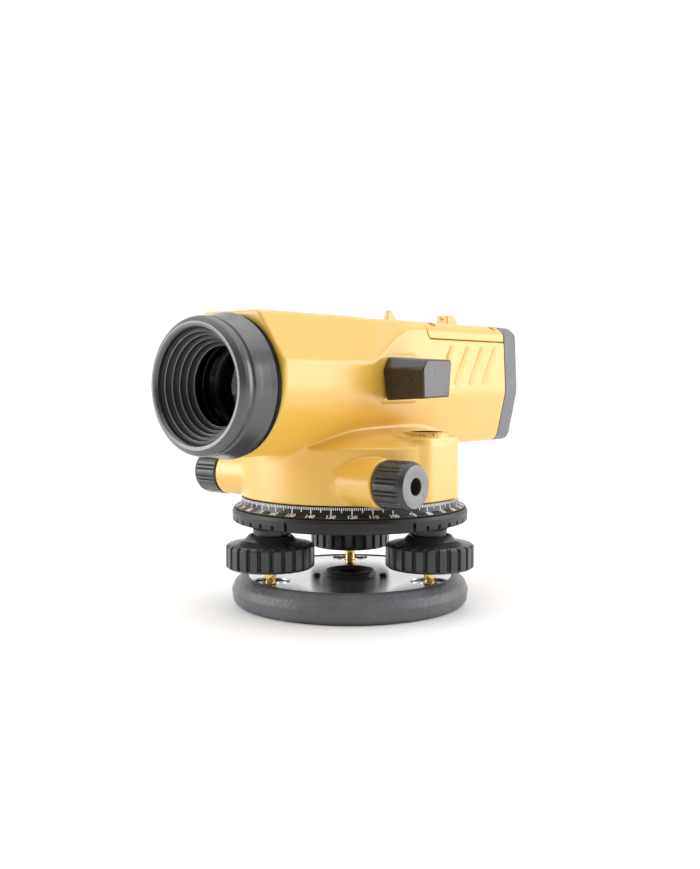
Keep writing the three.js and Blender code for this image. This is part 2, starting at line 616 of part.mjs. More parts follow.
// The carrier: a tube round the focusing lens, with a rack on an arm beside it.
function focusCarrier() {
  const tube = pipe(9.3, 13, -34, -8, 20).rotate([-90, 0, 0]);
  const guide = pipe(12, TUBE_BORE_R - 1, -30, -26, 20).rotate([-90, 0, 0]);
  const pitch = Math.PI * PINION.module;
  const rackLine = FOCUS_AXIS.z + PINION.pitchR;
  const [tip, root] = [rackLine - 0.55, rackLine + 0.8];
  const outline = [[-11, root + 2.6], [-11, root]];
  for (let k = -4; k <= 4; k += 1) {
    const y = FOCUS_AXIS.y + k * pitch;
    outline.push([y - 0.62, root], [y - 0.34, tip], [y + 0.34, tip], [y + 0.62, root]);
  }
  outline.push([19.5, root], [19.5, root + 2.6]);
  const rack = prism(outline, -20, -16).rotate([90, 0, 0]).rotate([0, 0, 90]);
  const arm = box([-20, -11.5], [-20, -9], [root, root + 2.6]);
  return join(tube, guide, rack, arm);
}

function focusPinion() {
  const { teeth, module: m, pitchR } = PINION;
  const stops = [[-0.3, -0.85], [-0.14, 0.6], [0.14, 0.6], [0.3, -0.85]];
  const outline = [];
  for (let tooth = 0; tooth < teeth; tooth += 1) {
    for (const [share, height] of stops) {
      const angle = ((tooth + share) / teeth) * 2 * Math.PI;
      const r = pitchR + height * m;
      outline.push([r * Math.cos(angle), r * Math.sin(angle)]);
    }
  }
  return join(prism(outline, -21, -15.4), disc(2.2, -52.5, -20.5, 12));
}

function focusKnob() {
  const { r, inner, outer, ribs, ribDepth } = FOCUS_KNOB;
  const grip = prism(ribbedOutline(r, ribs, ribDepth), outer + 1.2, inner - 1.2);
  const core = turned([[0, outer], [r - 3, outer], [r - ribDepth - 0.1, outer + 1.4],
    [r - ribDepth - 0.1, inner - 1], [r - 3, inner], [0, inner]], 20);
  return cut(join(core, grip), disc(2.5, -52.8, inner + 1, 12));
}

// With an odd number of teeth and one of them straight down, a gap faces the rack's tooth above.
const pinionPlace = [0, FOCUS_AXIS.y, AXIS_Z + FOCUS_AXIS.z];
place(alidade, 'focus_carrier', focusCarrier(), MATERIAL.blackMetal, [0, 0, AXIS_Z]);
place(telescope, 'focus_lens', lens(9, -22, -17.5, -0.8, -0.8), MATERIAL.glass);
place(alidade, 'focus_pinion', alongX(focusPinion()), MATERIAL.steel, pinionPlace);
place(alidade, 'focus_knob', alongX(focusKnob()), MATERIAL.black, pinionPlace);

// ---------------------------------------------------------------- compensator

function compensatorFrame() {
  const endPlate = (y0, y1) => pipe(9, TUBE_BORE_R - 0.4, y0, y1, 20).rotate([-90, 0, 0]);
  const bridge = box([-12, 12], [33, 60], [15.4, 19]);
  const rail = box([-9, 9], [33, 60], [-22, -19.4]);
  return join(endPlate(31, 34), endPlate(58, 61), bridge, rail);
}

function pendulum() {
  const tray = box([-9, 9], [39, 54], [-12, -9.4]);
  const horns = [-8.7, 7.1].map((x) => box([x, x + 1.6], [44, 49], [-10, -6]));
  const vane = box([-5, 5], [42, 51], [-15.4, -11.5]);
  return join(tray, ...horns, vane);
}

// A trapezoidal reversing prism, long side down, standing on the pendulum.
function reversingPrism() {
  const outline = [[40, -9.1], [53, -9.1], [50.5, 8], [42.5, 8]];
  return prism(outline, -5.8, 5.8).rotate([90, 0, 0]).rotate([0, 0, 90]);
}

const ribbon = (x) => box([x - 0.25, x + 0.25], [45.5, 47.5], [-5.7, 15.1]);
const damperMagnet = () => box([-6, 6], [40, 53], [-19.1, -16.2]);

place(alidade, 'compensator_frame', compensatorFrame(), MATERIAL.aluminium, [0, 0, AXIS_Z]);
place(alidade, 'pendulum', pendulum(), MATERIAL.aluminium, [0, 0, AXIS_Z]);
place(alidade, 'pendulum_prism', reversingPrism(), MATERIAL.glass, [0, 0, AXIS_Z]);
place(alidade, 'suspension_ribbon_left', ribbon(7.9), MATERIAL.steel, [0, 0, AXIS_Z]);
place(alidade, 'suspension_ribbon_right', ribbon(-7.9), MATERIAL.steel, [0, 0, AXIS_Z]);
place(alidade, 'damper_magnet', damperMagnet(), MATERIAL.steel, [0, 0, AXIS_Z]);

// ---------------------------------------------------------------- eyepiece end

function rearCap() {
  const { front, back, wall } = CAP;
  const taper = REAR_BODY.map(([x, z, r]) => [x * 0.945, z, r]);
  const outer = skinned([section(REAR_BODY, front), section(taper, back - 1.8),
    section(taper, back, 0.95)]);
  const within = taper.map(([x, z, r]) => [x - wall, z * (1 - wall / 30), Math.max(r - wall, 1)]);
  const inner = skinned([section(within, front - 1), section(within, back - wall - 1)]);
  return cut(outer, inner, alongY(disc(15, front, back + 1, 28)).translate([0, 0, AXIS_Z]));
}

const eyepieceMount = () => turned([[10.3, 84], [TUBE_BORE_R - 0.4, 84], [TUBE_BORE_R - 0.4, 88],
  [12.6, 88], [12.6, 100], [10.3, 100]], 20);
const reticleCell = () => turned([[8.3, 68], [TUBE_BORE_R - 0.4, 68], [TUBE_BORE_R - 0.4, 72.5],
  [7, 72.5], [7, 71.3], [8.3, 71.3]], 20);
const eyepieceTube = () => turned([[8, 80], [10, 80], [10, 110], [8, 110]], 20);

function diopterRing() {
  const grip = cut(prism(ribbedOutline(14, 16, 0.8), 103.2, 112), disc(12, 100, 115));
  const core = turned([[10.3, 102.4], [13.1, 102.4], [13.1, 112.4], [11.4, EYEPIECE_BACK_Y],
    [8.4, EYEPIECE_BACK_Y], [7, 113], [7, 111.2], [10.3, 111.2]], 20);
  return join(core, grip);
}

place(alidade, 'rear_cap', rearCap(), MATERIAL.capGrey);
place(telescope, 'reticle_cell', reticleCell(), MATERIAL.brass);
place(telescope, 'reticle_glass', disc(8, 69.2, 71, 20), MATERIAL.glass);
place(telescope, 'eyepiece_mount', eyepieceMount(), MATERIAL.blackMetal);
place(telescope, 'eyepiece_tube', eyepieceTube(), MATERIAL.aluminium);
place(telescope, 'eyepiece_lens', lens(7.7, 101, 105, 1.2, 1.2, 20), MATERIAL.glass);
place(telescope, 'diopter_ring', diopterRing(), MATERIAL.black);

// ---------------------------------------------------------------- circular level and mirror

function levelCup() {
  const { pocketR, pocketFloor, top } = LEVEL;
  const r = pocketR - GAP;
  return turned([[0, pocketFloor + GAP], [r, pocketFloor + GAP], [r, top - 0.3], [r - 0.5, top],
    [7.2, top], [7.2, 74.6], [0, 74.6]], 24);
}

const levelVial = () => turned([[0, 74.9], [6.9, 74.9], [6.9, 80.2], [5.2, 80.8], [0, 81]], 24);

// The mirror's hood: a box open underneath and behind, sloped along its top front edge.
function mirrorHousing() {
  const { x: [x0, x1], y: [y0, y1], z: [z0, z1], slope: [run, drop], wall } = MIRROR_BOX;
  const side = prism([[y0, z0], [y1, z0], [y1, z1], [y0 + run, z1], [y0, z1 - drop]], x0, x1);
  const block = side.rotate([90, 0, 0]).rotate([0, 0, 90]);
  const inside = box([x0 + wall, x1 - wall], [y0 + wall, y1 + 1], [z0 - 1, z1 - wall]);
  return cut(block, inside);
}

// The mirror leans at 45 degrees, silvered side towards the bubble and the observer.
function levelMirror() {
  const { x: [x0, x1], z: [z0, z1], y: [y0], wall } = MIRROR_BOX;
  const SHEET = 1.6;
  const reach = z1 - z0 - 2 * wall - 3;
  const low = [y0 + wall + 0.6, z0 + 1];
  const high = [low[0] + reach, low[1] + reach];
  const slab = [low, [low[0] + SHEET, low[1]], [high[0], high[1] - SHEET], high];
  const half = (x1 - x0) / 2 - wall - GAP;
  const sheet = prism(slab, -half, half).rotate([90, 0, 0]).rotate([0, 0, 90]);
  return sheet.translate([(x0 + x1) / 2, 0, 0]);
}

place(alidade, 'level_cup', levelCup(), MATERIAL.blackMetal, [LEVEL.x, LEVEL.y, 0]);
place(alidade, 'level_vial', levelVial(), MATERIAL.glass, [LEVEL.x, LEVEL.y, 0]);
place(alidade, 'mirror_housing', mirrorHousing(), MATERIAL.black);
place(alidade, 'level_mirror', levelMirror(), MATERIAL.mirror);

export default level;
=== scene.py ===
"""Looks of an automatic level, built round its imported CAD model.

Every length below is in millimetres until a mesh is made, and z is measured from the base's
underside. The telescope's cross-sections are measured from the optical axis.
"""

import json
import math

import bpy
import numpy as np
from mathutils import Matrix, Vector


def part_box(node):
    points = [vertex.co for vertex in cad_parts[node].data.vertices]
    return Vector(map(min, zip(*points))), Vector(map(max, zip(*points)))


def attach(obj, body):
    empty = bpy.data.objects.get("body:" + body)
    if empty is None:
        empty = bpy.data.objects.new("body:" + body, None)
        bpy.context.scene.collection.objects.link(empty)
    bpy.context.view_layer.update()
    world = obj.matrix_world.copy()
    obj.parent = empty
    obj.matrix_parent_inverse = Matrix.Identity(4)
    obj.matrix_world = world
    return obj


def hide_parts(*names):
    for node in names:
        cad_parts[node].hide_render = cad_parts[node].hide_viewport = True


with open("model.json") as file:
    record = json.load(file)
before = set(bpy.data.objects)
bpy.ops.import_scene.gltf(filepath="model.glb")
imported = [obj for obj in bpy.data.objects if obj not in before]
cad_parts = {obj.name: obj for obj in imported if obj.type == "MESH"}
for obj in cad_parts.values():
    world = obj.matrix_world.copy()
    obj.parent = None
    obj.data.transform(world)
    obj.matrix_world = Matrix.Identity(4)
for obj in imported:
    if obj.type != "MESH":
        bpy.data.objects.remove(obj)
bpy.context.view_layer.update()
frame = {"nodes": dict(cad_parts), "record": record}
SLOTS = {part["node"]: part["material_slot"] for part in frame["record"]["subparts"]}
MM = 0.001


def box_mm(node):
    low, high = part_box(node)
    return np.array(low) / MM, np.array(high) / MM


def centre_mm(node):
    low, high = box_mm(node)
    return (low + high) / 2


def span(node, axis):
    """Where a CAD node starts and ends along X (0), Y (1) or Z (2)."""
    low, high = box_mm(node)
    return low[axis], high[axis]


# ------ places taken from the CAD

AXIS_Z = centre_mm("hood_ring")[2]
HOOD_FRONT, HOOD_REAR = span("objective_hood", 1)
CAP_FRONT, CAP_BACK = span("rear_cap", 1)
BODY_FRONT, BODY_REAR = span("main_housing", 1)[0], CAP_FRONT - 0.3
SKIRT = span("main_housing", 2)[0]
COVER_FRONT = span("top_cover", 1)[0] - 0.15
COVER_SCREWS = [centre_mm(f"cover_screw_{i}")[:2] for i in (1, 2, 3, 4)]
RING_R = span("positioning_ring", 0)[1]
RING_LOW, RING_TOP = span("positioning_ring", 2)
FLANGE_R = span("graduated_circle", 0)[1]
DIAL_BOTTOM, CIRCLE_TOP = span("graduated_circle", 2)
LEVEL_X, LEVEL_Y = centre_mm("level_cup")[:2]
LEVEL_POCKET_R = span("level_cup", 0)[1] - LEVEL_X + 0.3
LEVEL_TOP = span("level_cup", 2)[1]
KNOB_SIDE = {1: "fine_knob_left", -1: "fine_knob_right"}
WORM_Y, WORM_Z = centre_mm("fine_knob_left")[1:]
FOCUS_Y, FOCUS_Z = centre_mm("focus_knob")[1:]
KNOB_END = span("fine_knob_left", 0)[1]
FEET = [centre_mm(f"foot_screw_spindle_{i}")[:2] for i in (1, 2, 3)]
HEADING = math.atan2(-FEET[0][1], -FEET[0][0])     # the tribrach's symmetry line, away from foot 1
PLATE_SCREWS = [(x * 18 / 42, y * 18 / 42) for x, y in FEET]   # at 18 mm, the feet at 42 mm
MIRROR_LOW, MIRROR_HIGH = box_mm("mirror_housing")

# ------ implicit shapes


def blend(a, b, width):
    """Both shapes together, with a fillet of that width."""
    h = np.maximum(width - np.abs(a - b), 0) / width
    return np.minimum(a, b) - h * h * width / 4


def meet(a, b, width):
    """What both shapes share, with a rounded edge of that width."""
    return -blend(-a, -b, width)


def clamp(t):
    return np.clip(t, 0, 1)


def slab(v, low, high):
    return np.maximum(low - v, v - high)


def rounded_box(x, y, z, low, high, r):
    centre = [(a + b) / 2 for a, b in zip(low, high)]
    half = [(b - a) / 2 - r for a, b in zip(low, high)]
    d = [np.abs(v - c) - h for v, c, h in zip((x, y, z), centre, half)]
    outside = np.sqrt(sum(np.maximum(v, 0) ** 2 for v in d))
    inside = np.minimum(np.maximum(np.maximum(d[0], d[1]), d[2]), 0)
    return outside + inside - r


def capsule(x, y, z, a, b, r):
    a, b = np.array(a, float), np.array(b, float)
    along = b - a
    t = ((x - a[0]) * along[0] + (y - a[1]) * along[1] + (z - a[2]) * along[2]) / (along @ along)
    t = clamp(t)
    return np.sqrt(sum((v - p - t * q) ** 2 for v, p, q in zip((x, y, z), a, along))) - r


def gradient(field, points, h=0.03):
    columns = []
    for axis in range(3):
        step = np.zeros(3)
        step[axis] = h
        ahead, behind = points + step, points - step
        columns.append((field(*ahead.T) - field(*behind.T)) / (2 * h))
    return np.stack(columns, 1)


def polygonise(field, low, high, step):
    """Vertices, quads and normals of the zero surface of field, by surface nets."""
    low = np.array(low, float)
    axes = [np.arange(a, b + step, step) for a, b in zip(low, high)]
    grids = np.meshgrid(*[a.astype(np.float32) for a in axes], indexing="ij", sparse=True)
    values = np.broadcast_to(field(*grids), [len(a) for a in axes])
    inside = values < 0
    n = inside.shape
    count = np.zeros([s - 1 for s in n], np.int8)
    for corner in np.ndindex(2, 2, 2):
        count += inside[tuple(slice(c, s - 1 + c) for c, s in zip(corner, n))]
    active = (count > 0) & (count < 8)
    cells = np.argwhere(active)
    number = np.full(active.shape, -1, np.int64)
    number[active] = np.arange(len(cells))
    total, hits = np.zeros((len(cells), 3)), np.zeros((len(cells), 1))
    quads = []
    for axis in range(3):
        unit, b, c = (np.eye(3, dtype=int)[(axis + k) % 3] for k in range(3))
        for offset in (0 * b, b, c, b + c):
            start = cells + offset
            f0 = values[tuple(start.T)]
            f1 = values[tuple((start + unit).T)]
            cross = (f0 < 0) != (f1 < 0)
            t = np.where(cross, f0 / np.where(cross, f0 - f1, 1), 0)
            total += cross[:, None] * (offset + t[:, None] * unit)
            hits += cross[:, None]
        first = inside[tuple(slice(0, s - u) for s, u in zip(n, unit))]
        second = inside[tuple(slice(u, s) for s, u in zip(n, unit))]
        edges = np.argwhere(first != second)
        keep = np.all((edges - b - c >= 0) & (edges < np.array(active.shape)), 1)
        edges = edges[keep]
        ring = np.stack([number[tuple((edges - o).T)] for o in (b + c, c, 0 * b, b)], 1)
        flip = ~inside[tuple(edges.T)]
        ring[flip] = ring[flip][:, ::-1]
        quads.append(ring)
    points = low + step * (cells + total / hits)
    for _ in range(4):
        g = gradient(field, points)
        value = field(*points.T)[:, None]
        move = value * g / np.maximum((g * g).sum(1, keepdims=True), 0.05)
        points -= np.clip(move, -0.4 * step, 0.4 * step)
    normals = gradient(field, points)
    normals /= np.maximum(np.linalg.norm(normals, axis=1, keepdims=True), 1e-6)
    return points, np.concatenate(quads), normals


# ------ meshes


SHARP_ANGLE = 38


def placed(name, data):
    """A new object in the scene, made from a mesh, curve, light or camera."""
    obj = bpy.data.objects.new(name, data)
    bpy.context.scene.collection.objects.link(obj)
    return obj


def mesh_object(name, points, faces):
    mesh = bpy.data.meshes.new(name)
    mesh.from_pydata((np.asarray(points, float) * MM).tolist(), [], faces)
    mesh.validate()
    return placed(name, mesh)


def implicit(name, field, low, high, step):
    points, quads, normals = polygonise(field, low, high, step)
    obj = mesh_object(name, points, quads.tolist())
    mesh = obj.data
    mesh.shade_smooth()
    mesh.normals_split_custom_set_from_vertices(normals.tolist())
    return obj


def smooth_by_angle(obj):
    mesh = obj.data
    mesh.shade_smooth()
    mesh.set_sharp_from_angle(angle=math.radians(SHARP_ANGLE))
    return obj


def filleted(points, closed, steps):
    """A profile of [r, z] or [r, z, fillet radius] points, with those corners rounded."""
    out = []
    count = len(points)
    for i, point in enumerate(points):
        corner = np.array(point[:2], float)
        radius = point[2] if len(point) > 2 else 0
        if radius == 0 or (not closed and i in (0, count - 1)):
            out.append(corner)
            continue
        before = np.array(points[i - 1][:2], float) - corner
        after = np.array(points[(i + 1) % count][:2], float) - corner
        lengths = np.linalg.norm(before), np.linalg.norm(after)
        before, after = before / lengths[0], after / lengths[1]
        half = math.acos(float(np.clip(before @ after, -1, 1))) / 2
        if half > 1.55:
            out.append(corner)
            continue
        reach = min(radius / math.tan(half), 0.49 * min(lengths))
        radius = reach * math.tan(half)
        centre = corner + (before + after) / np.linalg.norm(before + after) * radius / math.sin(half)
        start, end = corner + before * reach - centre, corner + after * reach - centre
        sweep = math.acos(float(np.clip(start @ end / radius**2, -1, 1)))
        for k in range(steps + 1):
            a, b = math.sin((1 - k / steps) * sweep), math.sin(k / steps * sweep)
            out.append(centre + (a * start + b * end) / math.sin(sweep))
    return np.array(out)


ON_AXIS = 1e-6


def turned(name, profile, sides, shape=None, steps=4):
    """A solid of revolution about +Z from a profile of [r, z, fillet] points. It is a ring, unless
    the profile starts and ends on the axis. shape(angle, r, z) can change r."""
    closed = profile[0][0] > 0 or profile[-1][0] > 0
    line = filleted(profile, closed, steps)
    angles = np.arange(sides) * 2 * math.pi / sides
    r = np.repeat(line[:, :1], sides, 1)
    z = np.repeat(line[:, 1:], sides, 1)
    a = np.repeat(angles[None, :], len(line), 0)
    if shape:
        r = shape(a, r, z)
    points = np.stack([r * np.cos(a), r * np.sin(a), z], 2).reshape(-1, 3)
    faces = []
    rows = len(line)
    for i in range(rows if closed else rows - 1):
        j = (i + 1) % rows
        for k in range(sides):
            m = (k + 1) % sides
            face = (i * sides + k, i * sides + m, j * sides + m, j * sides + k)
            if line[i, 0] < ON_AXIS:
                face = (i * sides, j * sides + m, j * sides + k)
            elif line[j, 0] < ON_AXIS:
                face = (i * sides + k, i * sides + m, j * sides)
            faces.append(face)
    r, z = line.T
    clockwise = np.sum(r * np.roll(z, -1) - np.roll(r, -1) * z) <= 0
    if clockwise:
        faces = [f[::-1] for f in faces]
    return smooth_by_angle(mesh_object(name, points, faces))


def extruded(name, outlines, low, high):
    """A sheet with holes: the first outline of [x, y] points is the edge, the others holes."""
    curve = bpy.data.curves.new(name, "CURVE")
    curve.dimensions = "2D"
    curve.fill_mode = "BOTH"
    for outline in outlines:
        spline = curve.splines.new("POLY")
        spline.points.add(len(outline) - 1)
        spline.points.foreach_set("co", [v for x, y in outline for v in (x * MM, y * MM, 0, 1)])
        spline.use_cyclic_u = True
    curve.extrude = (high - low) / 2 * MM
    return meshed(name, curve, (0, 0, (low + high) / 2))


def meshed(name, curve, place=(0, 0, 0), turn=None):
    """A curve or text as a mesh object, at place, in mm, after the rotation turn."""
    source = placed(name + "_curve", curve)
    graph = bpy.context.evaluated_depsgraph_get()
    mesh = bpy.data.meshes.new_from_object(source.evaluated_get(graph))
    bpy.data.objects.remove(source)
    return moved(placed(name, mesh), place, turn)


def joined(name, parts):
    """One object from several, keeping each one's custom shading."""
    bpy.context.view_layer.update()
    with bpy.context.temp_override(active_object=parts[0], selected_editable_objects=parts):
        bpy.ops.object.join()
    parts[0].name = name
    parts[0].data.name = name
    return parts[0]


def moved(obj, place=(0, 0, 0), turn=None):
    """Moves a mesh's points: first the rotation, then the shift in mm."""
    if turn is not None:
        obj.data.transform(turn.to_4x4())
    obj.data.transform(Matrix.Translation(Vector(place) * MM))
    return obj


ALONG_X = Matrix.Rotation(math.pi / 2, 3, "Y")
ALONG_MINUS_X = Matrix.Rotation(-math.pi / 2, 3, "Y")
ALONG_Y = Matrix.Rotation(-math.pi / 2, 3, "X")


def dress(obj, body, material, node=None, slot=None):
    """Gives a piece its material and its body, and hides the CAD node it stands for. The slot argument is not
    used.
    """
    obj.data.materials.clear()
    obj.data.materials.append(material)
    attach(obj, body)
    if node:
        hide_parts(node)
    return obj


def paint(obj, made, chosen):
    """Gives another material to the faces whose centre (x, y, z arrays, in mm) is chosen."""
    obj.data.materials.append(made)
    number = len(obj.data.materials) - 1
    centres = np.empty(len(obj.data.polygons) * 3)
    obj.data.polygons.foreach_get("center", centres)
    x, y, z = centres.reshape(-1, 3).T / MM
    for face in np.flatnonzero(chosen(x, y, z)):
        obj.data.polygons[int(face)].material_index = number
    return obj


# ------ materials


def material(name, color, metallic=0.0, roughness=0.5, **sockets):
    made = bpy.data.materials.new(name)
    made.use_nodes = True
    shader = made.node_tree.nodes["Principled BSDF"]
    shader.inputs["Base Color"].default_value = (*color, 1)
    shader.inputs["Metallic"].default_value = metallic
    shader.inputs["Roughness"].default_value = roughness
    for key, value in sockets.items():
        shader.inputs[key.replace("_", " ")].default_value = value
    return made


def node_of(made, kind, **values):
    node = made.node_tree.nodes.new(kind)
    for key, value in values.items():
        if key in node.inputs:
            node.inputs[key].default_value = value
        else:
            setattr(node, key, value)
    return node


def wire(made, source, target):
    made.node_tree.links.new(source, target)


def drive(made, source, socket):
    """Gives a socket of the material's shader its value from a node's output."""
    wire(made, source, made.node_tree.nodes["Principled BSDF"].inputs[socket])


def noise(made, scale, detail=3.0, roughness=0.55, stretch=(1, 1, 1)):
    """Noise in the object's own space; scale is in cells per metre."""
    place = node_of(made, "ShaderNodeTexCoord")
    mapping = node_of(made, "ShaderNodeMapping", Scale=stretch)
    wire(made, place.outputs["Object"], mapping.inputs["Vector"])
    texture = node_of(made, "ShaderNodeTexNoise", Scale=scale, Detail=detail, Roughness=roughness)
    wire(made, mapping.outputs["Vector"], texture.inputs["Vector"])
    return texture.outputs["Fac"]


MAP_SOCKETS = ("From Min", "From Max", "To Min", "To Max")


def ramp(made, source, low, high, low_out, high_out):
    """Maps low..high of source onto low_out..high_out, each a number or a colour."""
    if isinstance(low_out, (int, float)):
        limits = dict(zip(MAP_SOCKETS, (low, high, low_out, high_out)))
        node = node_of(made, "ShaderNodeMapRange", **limits)
        wire(made, source, node.inputs["Value"])
        return node.outputs["Result"]
    node = node_of(made, "ShaderNodeValToRGB")
    for element, place, color in zip(node.color_ramp.elements, (low, high), (low_out, high_out)):
        element.position = place
        element.color = (*color, 1)
    wire(made, source, node.inputs["Fac"])
    return node.outputs["Color"]


def bump(made, *layers):
    """Bump from (height, distance in mm, strength) layers, one on the next."""
    last = None
    for height, distance, strength in layers:
        node = node_of(made, "ShaderNodeBump", Distance=distance * MM, Strength=strength)
        wire(made, height, node.inputs["Height"])
        if last is not None:
            wire(made, last, node.inputs["Normal"])
        last = node.outputs["Normal"]
    drive(made, last, "Normal")


def mixed(made, share, source, color):
    """The source colour with that share of another colour mixed in."""
    node = node_of(made, "ShaderNodeMix", data_type="RGBA")
    factor, a, b = [socket for socket in node.inputs if socket.enabled]
    wire(made, share, factor)
    wire(made, source, a)
    b.default_value = (*color, 1)
    return next(socket for socket in node.outputs if socket.enabled)


def worn_edges(made):
    """A mask that is 1 on outer edges, broken up by noise."""
    geometry = node_of(made, "ShaderNodeNewGeometry")
    edge = ramp(made, geometry.outputs["Pointiness"], 0.56, 0.66, 0.0, 1.0)
    patchy = ramp(made, noise(made, 260), 0.42, 0.62, 0.0, 1.0)
    product = node_of(made, "ShaderNodeMath", operation="MULTIPLY")
    wire(made, edge, product.inputs[0])
    wire(made, patchy, product.inputs[1])
    return product.outputs[0]


def surface(name, color, tint, roughness, spread, grain, height, edge=None, **sockets):
    """A coloured surface with cloudy tone, uneven roughness, a fine grain and worn edges.

    tint is the second colour of the clouds; spread is how far roughness wanders; grain is the
    grain's cells per metre and height its bump in mm; edge is the colour of the worn edges."""
    made = material(name, color, roughness=roughness, **sockets)
    tone = ramp(made, noise(made, 38, detail=4), 0.3, 0.7, color, tint)
    if edge:
        tone = mixed(made, worn_edges(made), tone, edge)
    drive(made, tone, "Base Color")
    wander = noise(made, 120, detail=5, roughness=0.65)
    drive(made, ramp(made, wander, 0.3, 0.7, roughness - spread, roughness + spread), "Roughness")
    bump(made, (noise(made, grain, detail=2), height, 1.0), (noise(made, 90, detail=2), 0.03, 0.35))
    return made


YELLOW = surface("yellow_powder_coat", (0.775, 0.45, 0.052), (0.795, 0.47, 0.06), 0.34, 0.05, 2600, 0.02,
                 edge=(0.88, 0.58, 0.2), Coat_Weight=0.55, Coat_Roughness=0.4, Specular_IOR_Level=0.8)
CASTING = surface("textured_grey_coat", (0.085, 0.086, 0.096), (0.135, 0.136, 0.148), 0.36, 0.08, 900, 0.45,
                  edge=(0.22, 0.22, 0.23))
BLACK = surface("black_moulding", (0.032, 0.032, 0.034), (0.042, 0.042, 0.044), 0.25, 0.05, 3200, 0.012,
                edge=(0.06, 0.06, 0.062))
RING_BLACK = surface("ring_moulding", (0.014, 0.014, 0.015), (0.026, 0.026, 0.027), 0.38, 0.08, 1700, 0.05,
                     edge=(0.06, 0.06, 0.06), Specular_IOR_Level=0.3)
BOX_BLACK = surface("mirror_box_moulding", (0.008, 0.006, 0.005), (0.012, 0.009, 0.008), 0.26, 0.04, 3000,
                    0.01, edge=(0.016, 0.014, 0.012), Specular_IOR_Level=0.7)
RUBBER = surface("grey_rubber", (0.038, 0.038, 0.039), (0.045, 0.045, 0.046), 0.25, 0.03, 2200, 0.02,
                 edge=(0.07, 0.07, 0.07), Specular_IOR_Level=1.0)
# The hood is one rubber piece; its inside is painted near-black as painted shade between the baffles.
BAFFLE_PAINTED_SHADE = surface("baffle_painted_shade", (0.012, 0.012, 0.012), (0.018, 0.018, 0.018), 0.5, 0.06, 2200, 0.02)
# The baffle rim tips, of the same rubber, are painted light grey as a painted highlight.
RIM_PAINTED_HIGHLIGHT = surface("baffle_rim_painted_highlight", (0.34, 0.34, 0.34), (0.42, 0.42, 0.42), 0.35, 0.05, 2200, 0.01)
TUBE_BLACK = surface("tube_black", (0.006, 0.006, 0.006), (0.009, 0.009, 0.009), 0.7, 0.05, 1500, 0.02,
                     Specular_IOR_Level=0.15)
CAP_GREY = surface("grey_moulding", (0.14, 0.143, 0.156), (0.165, 0.168, 0.18), 0.42, 0.05, 2400, 0.03,
                   edge=(0.33, 0.33, 0.35))
BLACK_CAST = surface("black_casting", (0.03, 0.03, 0.031), (0.045, 0.045, 0.046), 0.38, 0.07, 1800, 0.03,
                     edge=(0.1, 0.1, 0.1))
DIAL = surface("black_dial", (0.012, 0.012, 0.013), (0.018, 0.018, 0.019), 0.36, 0.03, 2600, 0.006,
               Specular_IOR_Level=0.25, Coat_Weight=0.3, Coat_Roughness=0.1)
INK = surface("white_ink", (0.93, 0.93, 0.93), (0.88, 0.88, 0.88), 0.5, 0.05, 3000, 0.004)


def metal(name, color, tint, roughness, scratch, stretch=(1, 1, 14), height=0.004):
    """A bare metal with fine lines: scratch is their number per metre, height their depth in mm."""
    made = material(name, color, metallic=1.0, roughness=roughness)
    drive(made, ramp(made, noise(made, 60, detail=4), 0.3, 0.7, color, tint), "Base Color")
    lines = noise(made, scratch, detail=4, stretch=stretch)
    drive(made, ramp(made, lines, 0.3, 0.7, roughness * 0.8, roughness * 1.25), "Roughness")
    bump(made, (lines, height, 0.6))
    return made


BRASS = metal("polished_brass", (0.6, 0.4, 0.14), (0.72, 0.5, 0.2), 0.14, 500)
STEEL = metal("turned_steel", (0.62, 0.62, 0.63), (0.7, 0.7, 0.71), 0.22, 500)
ALUMINIUM = metal("milled_aluminium", (0.68, 0.69, 0.7), (0.76, 0.77, 0.78), 0.32, 400, (1, 14, 1))
# The fine knobs' end faces are the black moulding, painted light grey as a painted reflection of the lamps.
KNOB_FACE_PAINTED_HIGHLIGHT = surface("knob_face_painted_highlight", (0.2, 0.2, 0.205), (0.24, 0.24, 0.245), 0.3, 0.05, 3200, 0.012)
BLACK_METAL = metal("black_anodised", (0.05, 0.05, 0.055), (0.075, 0.075, 0.08), 0.3, 600)


def spun_plate():
    """Polished sheet with a circular grain, which stretches each highlight into a fan."""
    made = material("spun_plate", (0.8, 0.8, 0.81), metallic=1.0, roughness=0.2, Anisotropic=0.75)
    place = node_of(made, "ShaderNodeTexCoord")
    polar = node_of(made, "ShaderNodeVectorMath", operation="LENGTH")
    wire(made, place.outputs["Object"], polar.inputs[0])
    grooves = node_of(made, "ShaderNodeTexNoise", noise_dimensions="1D", Scale=5200, Detail=3.0)
    wire(made, polar.outputs["Value"], grooves.inputs["W"])
    drive(made, ramp(made, grooves.outputs["Fac"], 0.3, 0.7, 0.15, 0.26), "Roughness")
    tone = ramp(made, noise(made, 55, detail=5), 0.3, 0.7, (0.74, 0.74, 0.75), (0.84, 0.84, 0.85))
    drive(made, tone, "Base Color")
    tangent = node_of(made, "ShaderNodeTangent", direction_type="RADIAL", axis="Z")
    drive(made, tangent.outputs["Tangent"], "Tangent")
    bump(made, (grooves.outputs["Fac"], 0.002, 0.5))
    return made


PLATE = spun_plate()


def clear(name, color, ior=1.5, roughness=0.02, **sockets):
    made = material(name, color, roughness=roughness, IOR=ior, Transmission_Weight=1.0, **sockets)
    dust = noise(made, 300, detail=6)
    drive(made, ramp(made, dust, 0.55, 0.8, roughness, roughness + 0.05), "Roughness")
    return made


